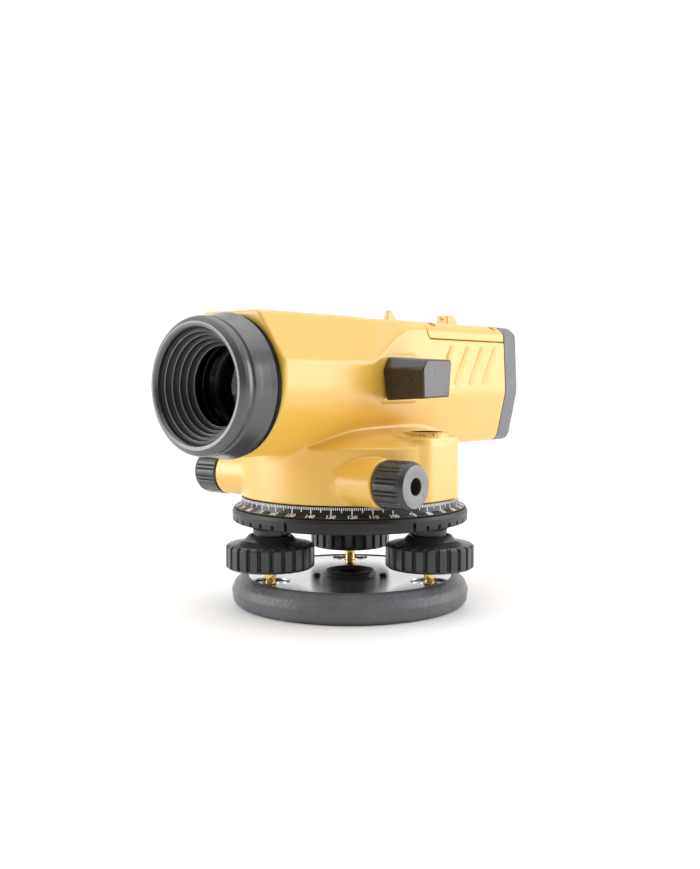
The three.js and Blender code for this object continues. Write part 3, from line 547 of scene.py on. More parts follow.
GLASS = clear("coated_glass", (0.5, 0.54, 0.56), ior=1.2, roughness=0.01, Specular_IOR_Level=0.3)
VIAL_GLASS = clear("vial_glass", (0.9, 0.93, 0.9))
LIQUID = clear("vial_liquid", (0.66, 0.74, 0.22), ior=1.36)
BUBBLE = clear("vial_bubble", (0.96, 1.0, 0.85), ior=1.05)
MIRROR = metal("silvered_glass", (0.88, 0.9, 0.91), (0.92, 0.94, 0.95), 0.03, 80, (1, 1, 1), 0.0005)

# ------ telescope body

# A half-section is the planes that bound it: the top, the side and the two lower ones, each as
# (direction of its outward normal in degrees, distance from the optical axis). Next to a plane
# stands the width over which it blends into the one before. The upper corner is cut by a slanted
# flat: a wide one on the front tube, a steep one on the rear body, whose front end is scooped.
TUBE_PLANES = [(90.0, 31.2, 0), (-1.4, 30.74, 0.9), (-42.5, 29.2, 7.0), (-90.0, 29.9, 8.8)]
REAR_PLANES = [(90.0, 30.5, 0), (2.7, 28.0, 1.4), (-12.6, 28.3, 0.9), (-90.0, 29.6, 4.5)]
TUBE_SLANT = (34.75, 31.45)
REAR_SLANT = (52.0, 37.5)
SCOOP_WALL = (0.403, -0.472, 0.777, 109.6)      # normal and offset of its two planes
SCOOP_SLOPE = (0.727, -0.237, 0.636, 98.9)
SHOULDER = (-21.8, 2.5)         # over this length the tube's side and top become the rear's
BELLY = (-20.0, 38.0)           # the lower corner forms more slowly


def flat(side, up, plane):
    """Distance in front of a plane given as (direction of its normal, distance from the axis)."""
    angle = math.radians(plane[0])
    return side * math.cos(angle) + up * math.sin(angle) - plane[1]


def section(distance, side, up, shoulder, belly):
    """The slanted flat, cut by the other planes as they are that far along both transitions."""
    for i, ((a0, d0, k0), (a1, d1, k1)) in enumerate(zip(TUBE_PLANES, REAR_PLANES)):
        share = belly if i > 1 else shoulder
        angle = np.radians(a0 + (a1 - a0) * share)
        plane = side * np.cos(angle) + up * np.sin(angle) - (d0 + (d1 - d0) * share)
        width = k0 + (k1 - k0) * share if i else 1.8
        distance = meet(distance, plane, width)
    return distance


def telescope(x, y, z):
    side, up = np.abs(x), z - AXIS_Z
    scoop = meet(*(side * a + y * b + z * c - d for a, b, c, d in (SCOOP_WALL, SCOOP_SLOPE)), 1.5)
    rear = meet(flat(side, up, REAR_SLANT), scoop, 1.2)
    slant = blend(flat(side, up, TUBE_SLANT), rear, 1.4)
    shoulder = blend(np.maximum((y - SHOULDER[0]) / (SHOULDER[1] - SHOULDER[0]), 0), 1, 0.7)
    belly = clamp((y - BELLY[0]) / (BELLY[1] - BELLY[0]))
    return section(slant, side, up, shoulder, belly * belly * (3 - 2 * belly))


def rear_section(x, z):
    """The section behind both transitions, without the scoop."""
    side, up = np.abs(x), z - AXIS_Z
    return section(flat(side, up, REAR_SLANT), side, up, 1.0, 1.0)


TURRET_R = 51.2
TURRET_SHOULDER = 75.8
TURRET_TOP = 82.0
TURRET_TOP_R = 36                # where the sloping shelf reaches the turret's top
TURRET_WALL = 3.0                # inside it is the cavity of the axis and the worm wheel
TUBE_BORE_R = 24
BARREL_R = 10.8
FOCUS_BOSS_R, FOCUS_BOSS_X = 13, (-36, -20)
WORM_BORE_R, PINION_BORE_R, CAVITY_TOP = 6.3, 3.3, 70.3
WELL_X, WELL_Y = 17, (30.6, 90)  # the opening under the top cover
BARREL_END = span(KNOB_SIDE[1], 0)[0] - 0.4
BLOCK = ((14.0, -13.0), (51.6, 20.0), 79.4)     # low and high corner in plan, and its top
BLOCK_CORNER = 8.0
RIM_R = 10.1
PAD_OVERLAP = 1.6
PAD_REAR = 14.5


def turret(x, y, z):
    r = np.hypot(x, y)
    wall = r - TURRET_R + 0.012 * (z - SKIRT)
    slope = math.atan2(TURRET_TOP - TURRET_SHOULDER, TURRET_R - TURRET_TOP_R)
    shelf = (z - TURRET_SHOULDER) * math.cos(slope) + (r - TURRET_R + 1.2) * math.sin(slope)
    drum = meet(meet(wall, shelf, 0.9), z - TURRET_TOP, 4)
    (x0, y0), (x1, y1), top = BLOCK
    across = np.abs(x - (x0 + x1) / 2) - (x1 - x0) / 2 + BLOCK_CORNER
    along = np.abs(y - (y0 + y1) / 2) - (y1 - y0) / 2 + BLOCK_CORNER
    outline = np.hypot(np.maximum(across, 0), np.maximum(along, 0)) - BLOCK_CORNER
    block = meet(outline + np.minimum(np.maximum(across, along), 0), z - top, 1.4)
    barrel = meet(np.hypot(y - WORM_Y, z - WORM_Z) - BARREL_R, np.abs(x) - BARREL_END, 0.9)
    rim = meet(np.hypot(x - LEVEL_X, y - LEVEL_Y) - RIM_R, z - LEVEL_TOP + 0.15, 0.8)
    body = blend(blend(drum, block, 2.2), barrel, 1.3)
    return blend(body, np.maximum(rim, 70 - z), 1.0)


def housing(x, y, z):
    body = meet(telescope(x, y, z), BODY_FRONT - y, 1.8)
    body = blend(body, turret(x, y, z), 3.2)
    pad = rounded_box(x, y, z, (20, MIRROR_LOW[1] + 0.5, MIRROR_LOW[2] - PAD_OVERLAP),
                      (MIRROR_LOW[0] - 0.3, PAD_REAR, MIRROR_HIGH[2] + PAD_OVERLAP), 1.0)
    body = blend(body, pad, 1.0)
    focus_axis = np.hypot(y - FOCUS_Y, z - FOCUS_Z)
    boss = meet(np.maximum(focus_axis - FOCUS_BOSS_R, x - FOCUS_BOSS_X[1]), FOCUS_BOSS_X[0] - x, 1.2)
    body = blend(body, boss, 2.0)
    body = blend(body, grips(x, y, z), 0.6)
    body = meet(body, SKIRT - z, 0.7)
    body = meet(body, y - BODY_REAR, 0.7)
    lid = np.maximum(cover_front(z) - y, SEAM_Z - z) - 0.15
    body = meet(body, -lid, 0.5)
    body = meet(body, TUBE_BORE_R - np.hypot(x, z - AXIS_Z), 0.6)
    cavity = np.maximum(np.hypot(x, y) - TURRET_R + TURRET_WALL, z - CAVITY_TOP)
    body = meet(body, -cavity, 0.6)
    body = meet(body, WORM_BORE_R - np.hypot(y - WORM_Y, z - WORM_Z), 0.6)
    pocket = np.maximum(np.hypot(x - LEVEL_X, y - LEVEL_Y) - LEVEL_POCKET_R, 72 - z)
    body = meet(body, -pocket, 0.4)
    body = meet(body, -np.maximum(focus_axis - PINION_BORE_R, x + 18), 0.5)
    well = np.maximum(np.maximum(np.abs(x) - WELL_X, slab(y, *WELL_Y)), AXIS_Z + 12 - z)
    return np.maximum(body, -well)


SEAM_Z = AXIS_Z + 22.2


def cover_front(z):
    """Where the top cover starts: further forward on the side, with a round lower corner."""
    forward = clamp((132 - z) / 3.0)
    corner = np.maximum(SEAM_Z + 2.8 - z, 0) / 2.8
    return COVER_FRONT - 1.8 * forward * forward * (3 - 2 * forward) + 2.4 * corner * corner


GRIP_TOPS = (44.8, 58.8, 72.0, 84.4)
GRIP_Z = (119.6, 103.6)
SIGHT_FOOT = 131                 # the open sight stands on the cover from here up
BEAD = [(26.4, SIGHT_FOOT), (37.2, SIGHT_FOOT), (31.4, 138.9), (28.7, 138.9)]
POST = [(75.5, SIGHT_FOOT), (89.0, SIGHT_FOOT), (82.6, 138.5), (77.0, 138.5)]
NOTCH_Z = 136


def grips(x, y, z):
    """Four slanting ribs on each side of the rear body; the first one is short."""
    side = np.abs(x)
    ribs = None
    for y_top in GRIP_TOPS:
        share = 0.3 if y_top == GRIP_TOPS[0] else 1.0
        low = (26.6, y_top - 11.0 * share, GRIP_Z[0] + (GRIP_Z[1] - GRIP_Z[0]) * share)
        rib = capsule(side, y, z, (26.05, y_top, GRIP_Z[0]), low, 1.9)
        ribs = rib if ribs is None else np.minimum(ribs, rib)
    return ribs


def top_cover(x, y, z):
    lid = telescope(x, y, z)
    lid = meet(lid, cover_front(z) + 0.15 - y, 0.5)
    lid = meet(lid, SEAM_Z + 0.15 - z, 0.5)
    lid = meet(lid, y - BODY_REAR + 0.3, 0.7)
    bead = rounded_prism(x, y, z, BEAD, 2.0, 0.4)
    bead = meet(bead, np.abs(x) - 1.85 + 0.145 * (z - SIGHT_FOOT), 0.4)
    post = rounded_prism(x, y, z, POST, 3.4, 0.6)
    notch = np.maximum(np.abs(x) - 0.75 - 0.2 * np.maximum(z - NOTCH_Z, 0), NOTCH_Z - z)
    post = meet(post, -notch, 0.4)
    lid = blend(blend(lid, bead, 0.9), post, 0.9)
    hollow = np.maximum(np.abs(x) - WELL_X + 0.5, slab(y, WELL_Y[0], WELL_Y[1] - 1))
    hollow = np.maximum(hollow, z - AXIS_Z - 28.3)
    lid = np.maximum(lid, -hollow)
    for sx, sy in COVER_SCREWS:
        recess = np.maximum(np.hypot(x - sx, y - sy) - 2.9, AXIS_Z + 26.0 - z)
        lid = meet(lid, -recess, 0.5)
    return lid



def rounded_prism(x, y, z, corners, half_width, r):
    """A convex outline of (y, z) corners, half_width to each side of x = 0, with rounded edges."""
    distance = np.abs(x) - half_width
    for (y0, z0), (y1, z1) in zip(corners, corners[1:] + corners[:1]):
        length = math.hypot(y1 - y0, z1 - z0)
        ny, nz = (z1 - z0) / length, -(y1 - y0) / length
        distance = meet(distance, (y - y0) * ny + (z - z0) * nz, r)
    return distance


def rear_cap(x, y, z):
    taper = 1 - 0.055 * clamp((y - CAP_FRONT) / (CAP_BACK - CAP_FRONT))
    solid = rear_section(x / taper, z)
    shell = meet(meet(solid, y - CAP_BACK, 3.2), CAP_FRONT - y, 0.5)
    shell = np.maximum(shell, -np.maximum(solid + 2.6, y - CAP_BACK + 2.6))
    radius = np.hypot(x, z - AXIS_Z)
    shell = meet(shell, 15 - radius, 0.8)
    step = np.maximum(radius - 17.5, CAP_BACK - 0.8 - y)
    return meet(shell, -step, 0.5)


def leaning(x, y, z, point, normal):
    """Distance in front of the plane through point with that normal."""
    length = math.sqrt(sum(n * n for n in normal))
    return sum((v - p) * n / length for v, p, n in zip((x, y, z), point, normal))


MIRROR_WALL = 1.8


def mirror_box(x, y, z):
    """A box that narrows a little downward, with a slope along its top front edge."""
    (x0, y0, z0), (x1, y1, z1) = MIRROR_LOW, MIRROR_HIGH
    slope = (x1, y0 + 0.3, z1 - 4.8), (0, -0.78, 0.62)
    block = leaning(x, y, z, (x1, y0 + 3, z1 - 1.0), (0.06, 0, 1))
    for point, normal, width in (
            ((x1, y1, z0), (1, 0, 0), 1.3), ((x0, y0, z1 - 4), (-1, 0, -0.1), 1.0),
            ((x1, y0, z1 - 4), (0, -1, -0.05), 0.9), ((x1, y1 + 0.5, z1 - 2), (0, 1, -0.1), 1.0),
            (*slope, 0.9),
            ((x1, y1, z0 + 1.0), (0.05, 0.02, -1), 0.9)):
        block = meet(block, leaning(x, y, z, point, normal), width)
    inside = rounded_box(x, y, z, (x0 + MIRROR_WALL, y0 + MIRROR_WALL, z0 - 10),
                         (x1 - MIRROR_WALL, y1 + 10, z1 - 2.8), 0.6)
    inside = meet(inside, leaning(x, y, z, *slope) + MIRROR_WALL, 0.5)
    return meet(block, -inside, 0.4)


CELL = 0.75      # the housing's grid; the smaller pieces have finer ones
shells = {}
for name, field, cell, made, node in (
        ("housing_shell", housing, CELL, YELLOW, "main_housing"),
        ("cover_shell", top_cover, CELL * 0.75, YELLOW, "top_cover"),
        ("cap_shell", rear_cap, CELL * 0.8, CAP_GREY, "rear_cap"),
        ("mirror_shell", mirror_box, CELL * 0.5, BOX_BLACK, "mirror_housing")):
    low, high = box_mm(node)
    shells[name] = dress(implicit(name, field, low - 2, high + 2, cell), "alidade", made, node)
paint(shells["housing_shell"], TUBE_BLACK, lambda x, y, z: np.hypot(x, z - AXIS_Z) < TUBE_BORE_R + 0.6)

# ------ objective end


BAFFLES = 5
MOUTH_R, THROAT_R = 23.6, 16.7
BAFFLE_FIRST = HOOD_FRONT + 1.2
BAFFLE_DEPTH = (HOOD_REAR - 1.5 - BAFFLE_FIRST) / BAFFLES
BAFFLE_SHRINK = (MOUTH_R - THROAT_R) / BAFFLES


def hood():
    """A rounded lip, a groove and a flaring drum outside; baffles with raised rims inside."""
    front, rear = HOOD_FRONT, HOOD_REAR
    profile = [
        (24.2, front + 0.35, 0.5), (26.0, front, 1.2), (27.9, front + 1.5, 1.2),
        (28.45, front + 3.0, 0.8), (28.45, front + 4.5, 0.5), (27.6, front + 5.0, 0.3),
        (27.7, front + 5.9, 0.4), (28.5, front + 6.3, 0.5), (28.95, front + 10, 3),
        (29.65, front + 14, 3), (30.35, rear - 0.3, 0.2), (30.1, rear, 0.2), (17.2, rear, 0.3)]
    for k in range(BAFFLES, 0, -1):
        y, r = BAFFLE_FIRST + k * BAFFLE_DEPTH, MOUTH_R - k * BAFFLE_SHRINK
        profile += [(r + 0.35, y + 0.7, 0.2), (r, y + 0.2, 0.12), (r, y - 0.25, 0.12),
                    (r + 1.0, y - 0.5, 0.2), (r + 1.35, y - 1.1, 0.3)]
    profile += [(MOUTH_R, front + 1.3, 0.4)]
    return turned("hood_rubber", profile, 180)


def on_axis(obj):
    """Turns a piece made about +Z so that it lies along the optical axis."""
    return moved(obj, (0, 0, AXIS_Z), ALONG_Y)


# The faces inside the hood, which get the painted shade.
def in_hood(x, y, z):
    return (np.hypot(x, z - AXIS_Z) < MOUTH_R + 0.7) & (y > BAFFLE_FIRST + 0.4)


# The baffle rim tips, which get the painted highlight.
def on_rim(x, y, z):
    step = np.round((y - BAFFLE_FIRST) / BAFFLE_DEPTH)
    off = np.abs(y - BAFFLE_FIRST - step * BAFFLE_DEPTH)
    radius = np.hypot(x, z - AXIS_Z)
    return in_hood(x, y, z) & (off < 0.3) & (radius < MOUTH_R - step * BAFFLE_SHRINK + 0.2)


hood_shell = dress(on_axis(hood()), "alidade", RUBBER, "objective_hood")
# The hood's inside is painted darker than its rubber: painted shade.
paint(hood_shell, BAFFLE_PAINTED_SHADE, in_hood)
# The rim tips are painted light grey: a painted highlight.
paint(hood_shell, RIM_PAINTED_HIGHLIGHT, on_rim)
y0, y1 = span("hood_ring", 1)
seal = turned("hood_seal", [
    (24, y0, 0.1), (29.5, y0, 0.2), (29.9, y0 + 0.6, 0.2), (29.7, y1, 0.2), (24, y1, 0.1)], 160)
dress(on_axis(seal), "alidade", TUBE_BLACK, "hood_ring")
y0, y1 = span("objective_cell", 1)
cell = turned("lens_cell", [
    (17.3, y0, 0.2), (19.5, y0, 0.3), (20, y0 + 0.6, 0.2), (23.7, y0 + 0.6, 0.3), (23.7, y1, 0.3),
    (15.8, y1, 0.2), (15.8, y1 - 2.4, 0.1), (17.3, y1 - 2.4, 0.1)], 128)
dress(on_axis(cell), "alidade", BLACK_METAL, "objective_cell")


def lens_profile(r, y0, y1, bulge0, bulge1, steps=14):
    """Profile of a lens with spherical faces, from its front pole to its rear pole."""
    share = np.linspace(0, 1, steps)
    front = [(s * r, y0 - bulge0 * (1 - s * s)) for s in share]
    rear = [(s * r, y1 + bulge1 * (1 - s * s)) for s in share[::-1]]
    return front + rear


y0, y1 = span("objective_lens", 1)
lens = turned("objective_glass", lens_profile(16.9, y0 + 1.9, y1 - 0.6, 1.9, 0.5), 96)
dress(on_axis(lens), "alidade", GLASS, "objective_lens")
y0, y1 = span("eyepiece_lens", 1)
lens = turned("eye_glass", lens_profile(7.6, y0 + 1.2, y1 - 1.2, 1.2, 1.2), 72)
dress(on_axis(lens), "eyepiece", GLASS, "eyepiece_lens")


def ribs(count, depth, share, flank, z_low, z_high, chamfer):
    """A shape function: flat-topped ribs between z_low and z_high, sunk by depth between them."""

    def shape(a, r, z):
        t = (a * count / (2 * math.pi)) % 1
        sunk = clamp((np.abs(t - 0.5) - (0.5 - share / 2 - flank)) / flank)
        along = clamp((z - z_low) / chamfer) * clamp((z_high - z) / chamfer)
        return r - depth * sunk * along

    return shape


def outside(radius, shape):
    """The shape function, held to the part of the profile that is outside a radius."""
    return lambda a, r, z: np.where(r > radius, shape(a, r, z), r)


def diopter():
    y0, y1 = span("diopter_ring", 1)
    profile = [
        (10.4, y0, 0.2), (13.0, y0, 0.4), (13.1, y0 + 0.8, 0.2), (14.0, y0 + 1.2, 0.3),
        (14.0, y0 + 9.2, 0.4), (13.2, y0 + 9.8, 0.3), (12.9, y1 - 4.6, 0.6), (11.2, y1, 1.0),
        (8.6, y1, 0.6), (7.1, y1 - 4, 0.3), (7.1, y1 - 5.6, 0.2), (10.4, y1 - 5.6, 0.2)]
    knurl = ribs(32, 0.6, 0.42, 0.12, y0 + 1.4, y0 + 9.0, 0.5)
    return turned("diopter_grip", profile, 384, shape=outside(13.5, knurl))


dress(on_axis(diopter()), "diopter", BLACK, "diopter_ring")

# ------ knobs


FINE_KNOB_R, FINE_RIDGES = 10.55, 12
FOCUS_KNOB_R = 17.0
FOOT_KNOB_R, FOOT_RIBS = 20.2, 24


def fine_knob(sign):
    """A slim knob: narrow ridges between paired grooves, a flat face and a round recess."""
    inner, outer = sorted(abs(x) for x in span(KNOB_SIDE[sign], 0))
    r = FINE_KNOB_R
    profile = [(3.4, inner, 0.1), (9.6, inner, 0.2), (9.8, inner + 0.5, 0.1), (r, inner + 1.0, 0.4)]
    profile += [(r, z) for z in np.linspace(inner + 2.2, outer - 3.2, 14)]
    profile += [(10.3, outer - 1.9, 0.6), (9.2, outer - 0.2, 0.5), (8.9, outer, 0.2), (3.7, outer, 0.3),
                (3.5, outer - 7, 0.1), (3.4, outer - 7, 0.1)]

    def shape(a, r0, z):
        t = (a * FINE_RIDGES / (2 * math.pi)) % 1 - 0.5
        along = clamp((z - inner - 1.1) / 0.5) * clamp((outer - 2.2 - z) / 0.5)
        groove = np.exp(-((np.abs(t) - 0.17) / 0.06) ** 2)
        return r0 - 0.8 * groove * along

    obj = turned(KNOB_SIDE[sign] + "_grip", profile, 480, shape=outside(9.9, shape))
    moved(obj, (0, WORM_Y, WORM_Z), ALONG_X if sign > 0 else ALONG_MINUS_X)
    return dress(obj, "fine_drive", BLACK, KNOB_SIDE[sign])


# Each fine knob's end face is painted light grey: a painted reflection.
for sign in (1, -1):
    paint(fine_knob(sign), KNOB_FACE_PAINTED_HIGHLIGHT, lambda x, y, z: np.abs(x) > KNOB_END - 0.12)


def focus_knob():
    inner, outer = sorted(abs(x) for x in span("focus_knob", 0))
    r = FOCUS_KNOB_R
    profile = [(2.5, inner, 0.1), (13.6, inner, 0.4), (16.2, inner + 1.0, 0.5), (r, inner + 1.8, 0.4)]
    profile += [(r, z) for z in np.linspace(inner + 3.2, outer - 3.6, 12)]
    profile += [(r, outer - 2.2, 0.7), (14.6, outer - 0.2, 1.0), (11.5, outer, 0.5),
                (10.8, outer - 0.7, 0.3), (0, outer - 0.7), (0, outer - 2.3), (2.5, outer - 2.3, 0.1)]
    grip = ribs(18, 0.95, 0.4, 0.1, inner + 1.6, outer - 2.0, 0.8)
    obj = turned("focus_knob_grip", profile, 432, shape=outside(16.5, grip))
    return moved(obj, (0, FOCUS_Y, FOCUS_Z), ALONG_MINUS_X)


dress(focus_knob(), "focus_drive", BLACK, "focus_knob")


def foot_knob(index):
    z0, z1 = span(f"foot_screw_knob_{index}", 2)
    shoulder = z0 + 11.2
    r = FOOT_KNOB_R
    profile = [(3.3, z0 + 1.0, 0.2), (6, z0 + 1.0, 0.5), (7, z0, 0.4), (17.4, z0, 0.6),
               (19.0, z0 + 0.3, 0.4), (r, z0 + 1.3, 0.5)]
    profile += [(r, z) for z in np.linspace(z0 + 2.4, shoulder - 1.6, 10)]
    profile += [(r, shoulder - 0.9, 0.4), (r - 0.6, shoulder - 0.3, 0.4), (18.7, shoulder + 0.3, 0.5),
                (12.2, z1 - 2.3, 0.5), (9.9, z1, 0.5), (8.9, z1, 0.3), (8.9, z1 - 4.1, 0.2),
                (3.3, z1 - 4.1, 0.2)]

    def shape(a, r0, z):
        t = (a * FOOT_RIBS / (2 * math.pi)) % 1 - 0.5
        along = clamp((z - z0 - 0.9) / 0.7) * clamp((shoulder + 0.35 - z) / 0.9)
        sunk = clamp((np.abs(t) - 0.31) / 0.06)
        bead = np.exp(-((np.abs(t) - 0.5) / 0.07) ** 2) * 0.55
        return r0 - 1.15 * (sunk - bead * sunk) * along

    obj = turned(f"foot_knob_grip_{index}", profile, 720, shape=outside(18.9, shape))
    return moved(obj, (*FEET[index - 1], 0))


BALL_R = 2.9
FOOT_PITCH = 0.75


def spindle(index):
    """A foot screw's spindle: a ball, a groove above it and the thread."""
    z0, z1 = span(f"foot_screw_spindle_{index}", 2)
    angles = np.radians(np.linspace(-60, 26, 9))
    ball = [(BALL_R * math.cos(t), z0 + 3.1 + BALL_R * math.sin(t), 0) for t in angles]
    profile = [(0, z0)] + ball + [
        (2.6, z0 + 5.7, 0.2), (2.6, z0 + 8.7, 0.1), (2.35, z0 + 8.9, 0.05), (2.35, z0 + 9.2, 0.05),
        (2.9, z0 + 9.4, 0.1)]
    z = z0 + 11
    while z < z1 - 0.8:
        profile += [(2.9, z), (2.55, z + FOOT_PITCH / 2)]
        z += FOOT_PITCH
    profile += [(2.6, z1 - 0.3, 0.1), (2.3, z1, 0.1), (0, z1)]
    obj = turned(f"foot_spindle_{index}", profile, 48, steps=2)
    return moved(obj, (*FEET[index - 1], 0))


for index in (1, 2, 3):
    dress(foot_knob(index), f"foot_screw_{index}", BLACK, f"foot_screw_knob_{index}")
    dress(spindle(index), f"foot_screw_{index}", BRASS, f"foot_screw_spindle_{index}")

# ------ tribrach


NOTCHES, NOTCH_SPACING = 9, 7.5     # in each group; the spacing is in degrees


def positioning_ring():
    """The notched ring: three groups of nine finger notches along its lower edge."""
    profile = [(50.4, RING_LOW, 0.3), (53.6, RING_LOW, 0.3), (RING_R - 0.5, RING_LOW + 0.4, 0.4)]
    profile += [(RING_R - 0.15 + 0.15 * clamp(t * 3), RING_LOW + 0.9 + t * 4.2, 0)
                for t in np.linspace(0, 1, 12)]
    profile += [(RING_R - 0.9, RING_TOP, 0.4), (54.9, RING_TOP, 0.2), (54.75, RING_TOP - 0.5, 0.1),
                (50.4, RING_TOP - 0.5, 0.2)]

    def shape(a, r, z):
        degrees = np.degrees(a - HEADING) % 360
        change = np.zeros_like(r)
        for group in (30, 150, 270):
            for k in range(NOTCHES):
                off = np.abs((degrees - group - NOTCH_SPACING * k + 180) % 360 - 180)
                tall = 4.4 if k in (0, NOTCHES - 1) else 2.6
                across = clamp((0.78 - off) / 0.2)
                along = clamp((RING_LOW + tall - z) / 0.35)
                change = np.maximum(change, across * along)
        return r - 1.5 * change

    return turned("ring_grip", profile, 2160, shape=outside(53.5, shape))


dress(positioning_ring(), "horizontal_circle", RING_BLACK, "positioning_ring")

FLANGE_EDGE_Z, FLANGE_ROOT_Z = DIAL_BOTTOM + 0.35, DIAL_BOTTOM + 1.45
BAND_LOW_R, BAND_TOP_R = 51.65, 51.25
DIAL_TURN = math.radians(0.97)      # how far the mark of 120 stands from the symmetry line
MARK_PROUD = 0.04


def graduated_circle():
    profile = [
        (20, DIAL_BOTTOM, 0.1), (FLANGE_R - 0.1, DIAL_BOTTOM, 0.1), (FLANGE_R, FLANGE_EDGE_Z - 0.1, 0.08),
        (FLANGE_R - 0.2, FLANGE_EDGE_Z, 0.1), (BAND_LOW_R, FLANGE_ROOT_Z, 0.1),
        (BAND_TOP_R, CIRCLE_TOP, 0.15), (BAND_TOP_R - 1.3, CIRCLE_TOP, 0.2),
        (BAND_TOP_R - 1.3, DIAL_BOTTOM + 0.8, 0.2), (20, DIAL_BOTTOM + 0.8, 0.1)]
    return turned("dial_plate", profile, 360)


def ticks():
    """Degree marks on the band: short, 5 degree and 10 degree ones."""
    points, faces = [], []
    for degree in range(360):
        length = 3.0 if degree % 10 == 0 else 2.1 if degree % 5 == 0 else 1.15
        half = math.radians(0.22 if degree % 5 == 0 else 0.19)
        top = CIRCLE_TOP - 0.25
        middle = HEADING + DIAL_TURN + math.radians(degree)
        start = len(points)
        for angle, z in ((middle - half, top), (middle + half, top), (middle + half, top - length),
                         (middle - half, top - length)):
            share = (CIRCLE_TOP - z) / (CIRCLE_TOP - FLANGE_ROOT_Z)
            r = BAND_TOP_R + (BAND_LOW_R - BAND_TOP_R) * share + MARK_PROUD
            points.append((r * math.cos(angle), r * math.sin(angle), z))
        faces.append((start, start + 3, start + 2, start + 1))
    return mesh_object("dial_ticks", points, faces)


def numerals():
    """The degree numbers on the sloping flange, read from outside. They fall to the right."""
    parts = []
    slope = math.atan2(FLANGE_ROOT_Z - FLANGE_EDGE_Z, FLANGE_R - 0.2 - BAND_LOW_R)
    r, z = (BAND_LOW_R + FLANGE_R - 0.2) / 2, (FLANGE_ROOT_Z + FLANGE_EDGE_Z) / 2
    r, z = r + MARK_PROUD * math.sin(slope), z + MARK_PROUD * math.cos(slope)
    for value in range(0, 360, 10):
        text = bpy.data.curves.new(f"number_{value}", "FONT")
        text.body = str(value)
        text.size = 2.9 * MM
        text.align_x = text.align_y = "CENTER"
        text.offset = 0.08 * MM
        angle = HEADING + DIAL_TURN + math.radians(120 - value)
        turn = (Matrix.Rotation(angle + math.pi / 2, 3, "Z") @ Matrix.Rotation(slope, 3, "X")
                @ Matrix.Diagonal((1.05, 1.25, 1.0)))
        parts.append(meshed(f"number_{value}", text, (r * math.cos(angle), r * math.sin(angle), z), turn))
    return joined("dial_numbers", parts)


dial = dress(graduated_circle(), "horizontal_circle", DIAL, "graduated_circle")
dress(ticks(), "horizontal_circle", INK, slot="black_aluminium")
dress(numerals(), "horizontal_circle", INK, slot="black_aluminium")


HEAD_LOW, HEAD_HIGH, HEAD_BOSS_TOP = 39.2, 44.6, 66


def trivet():
    """The tribrach's head: a round plate, a boss for the axis and a leg above each foot screw."""
    legs = span("foot_screw_nut_1", 2)[0] - 0.4
    parts = [turned("head_plate", [
        (10.3, HEAD_BOSS_TOP, 0.2), (10.3, 38.6, 0.2), (12.6, 38.6, 0.1), (12.6, 33, 0.2), (17.5, 33, 0.6),
        (19.5, HEAD_LOW, 1.0), (49.4, HEAD_LOW, 0.5), (50, HEAD_LOW + 0.6, 0.3), (50, HEAD_HIGH - 0.4, 0.3),
        (49.6, HEAD_HIGH, 0.2), (16.5, HEAD_HIGH, 0.2), (16.5, HEAD_BOSS_TOP, 0.3)], 144)]
    for x, y in FEET:
        leg = turned("head_leg", [
            (6.2, legs, 0.3), (7.5, legs, 0.4), (7.8, legs + 0.5, 0.2), (7.8, 37.0, 0.6), (9.2, 38.5, 0.8),
            (9.2, 43.0), (6.2, 43.0)], 64)
        parts.append(moved(leg, (x, y, 0)))
    return joined("head_casting", parts)


dress(trivet(), "tribrach_head", BLACK_CAST, "trivet")


SHEET_LOW, SHEET_TOP = span("spring_plate", 2)
SHEET_R = 48.2
SEAT_TOP = SHEET_LOW - 0.35
BUSH_HOLE_R = 12.5


def base_plate():
    """A flat dish with a seat under each foot screw and a post under each plate screw."""
    parts = [turned("base_shell", [
        (BUSH_HOLE_R, 0, 0.2), (22, 0, 0.3), (22, 1.5, 0.5), (44, 1.5, 0.5), (44, 0, 0.3), (53.4, 0, 0.8),
        (55.4, 2.0, 1.6), (56.0, 6.6, 0.9), (54.6, 10.0, 3.5), (51.4, 12.8, 2.2), (49.6, 13.3, 0.7),
        (48.6, 13.1, 0.3), (48.6, 4.5, 0.8), (BUSH_HOLE_R, 4.5, 0.3)], 220, steps=6)]
    for foot, plate_screw in zip(FEET, PLATE_SCREWS):
        seat = turned("foot_seat", [
            (0, 4.2), (9.3, 4.2), (9.2, SEAT_TOP, 0.3), (5.0, SEAT_TOP, 0.4), (4.6, 9.4, 0.5),
            (3.0, 7.6, 0.5), (0, 7.0)], 64)
        post = turned("plate_post", [(0, 4.2), (3.4, 4.2), (3.1, 11.6, 0.2), (0, 11.6)], 32)
        parts += [moved(seat, (*foot, 0)), moved(post, (*plate_screw, 0))]
    return joined("base_casting", parts)


def ring_of_points(centre, r, count):
    angles = [2 * math.pi * k / count for k in range(count)]
    return [(centre[0] + r * math.cos(a), centre[1] + r * math.sin(a)) for a in angles]


casting = dress(base_plate(), "base", CASTING, "base_plate")
paint(casting, ALUMINIUM, lambda x, y, z: (np.hypot(x, y) < SHEET_R + 0.2) & (z > 6.0) & (z < SEAT_TOP + 0.1))
outlines = [ring_of_points((0, 0), SHEET_R, 240), ring_of_points((0, 0), BUSH_HOLE_R, 128)]
outlines += [ring_of_points(foot, 9, 96) for foot in FEET]
outlines += [ring_of_points(place, 1.9, 32) for place in PLATE_SCREWS]
sheet = extruded("spun_sheet", outlines, SHEET_LOW, SHEET_TOP)
dress(smooth_by_angle(sheet), "base", PLATE, "spring_plate")


BUSH_PITCH = 1.3


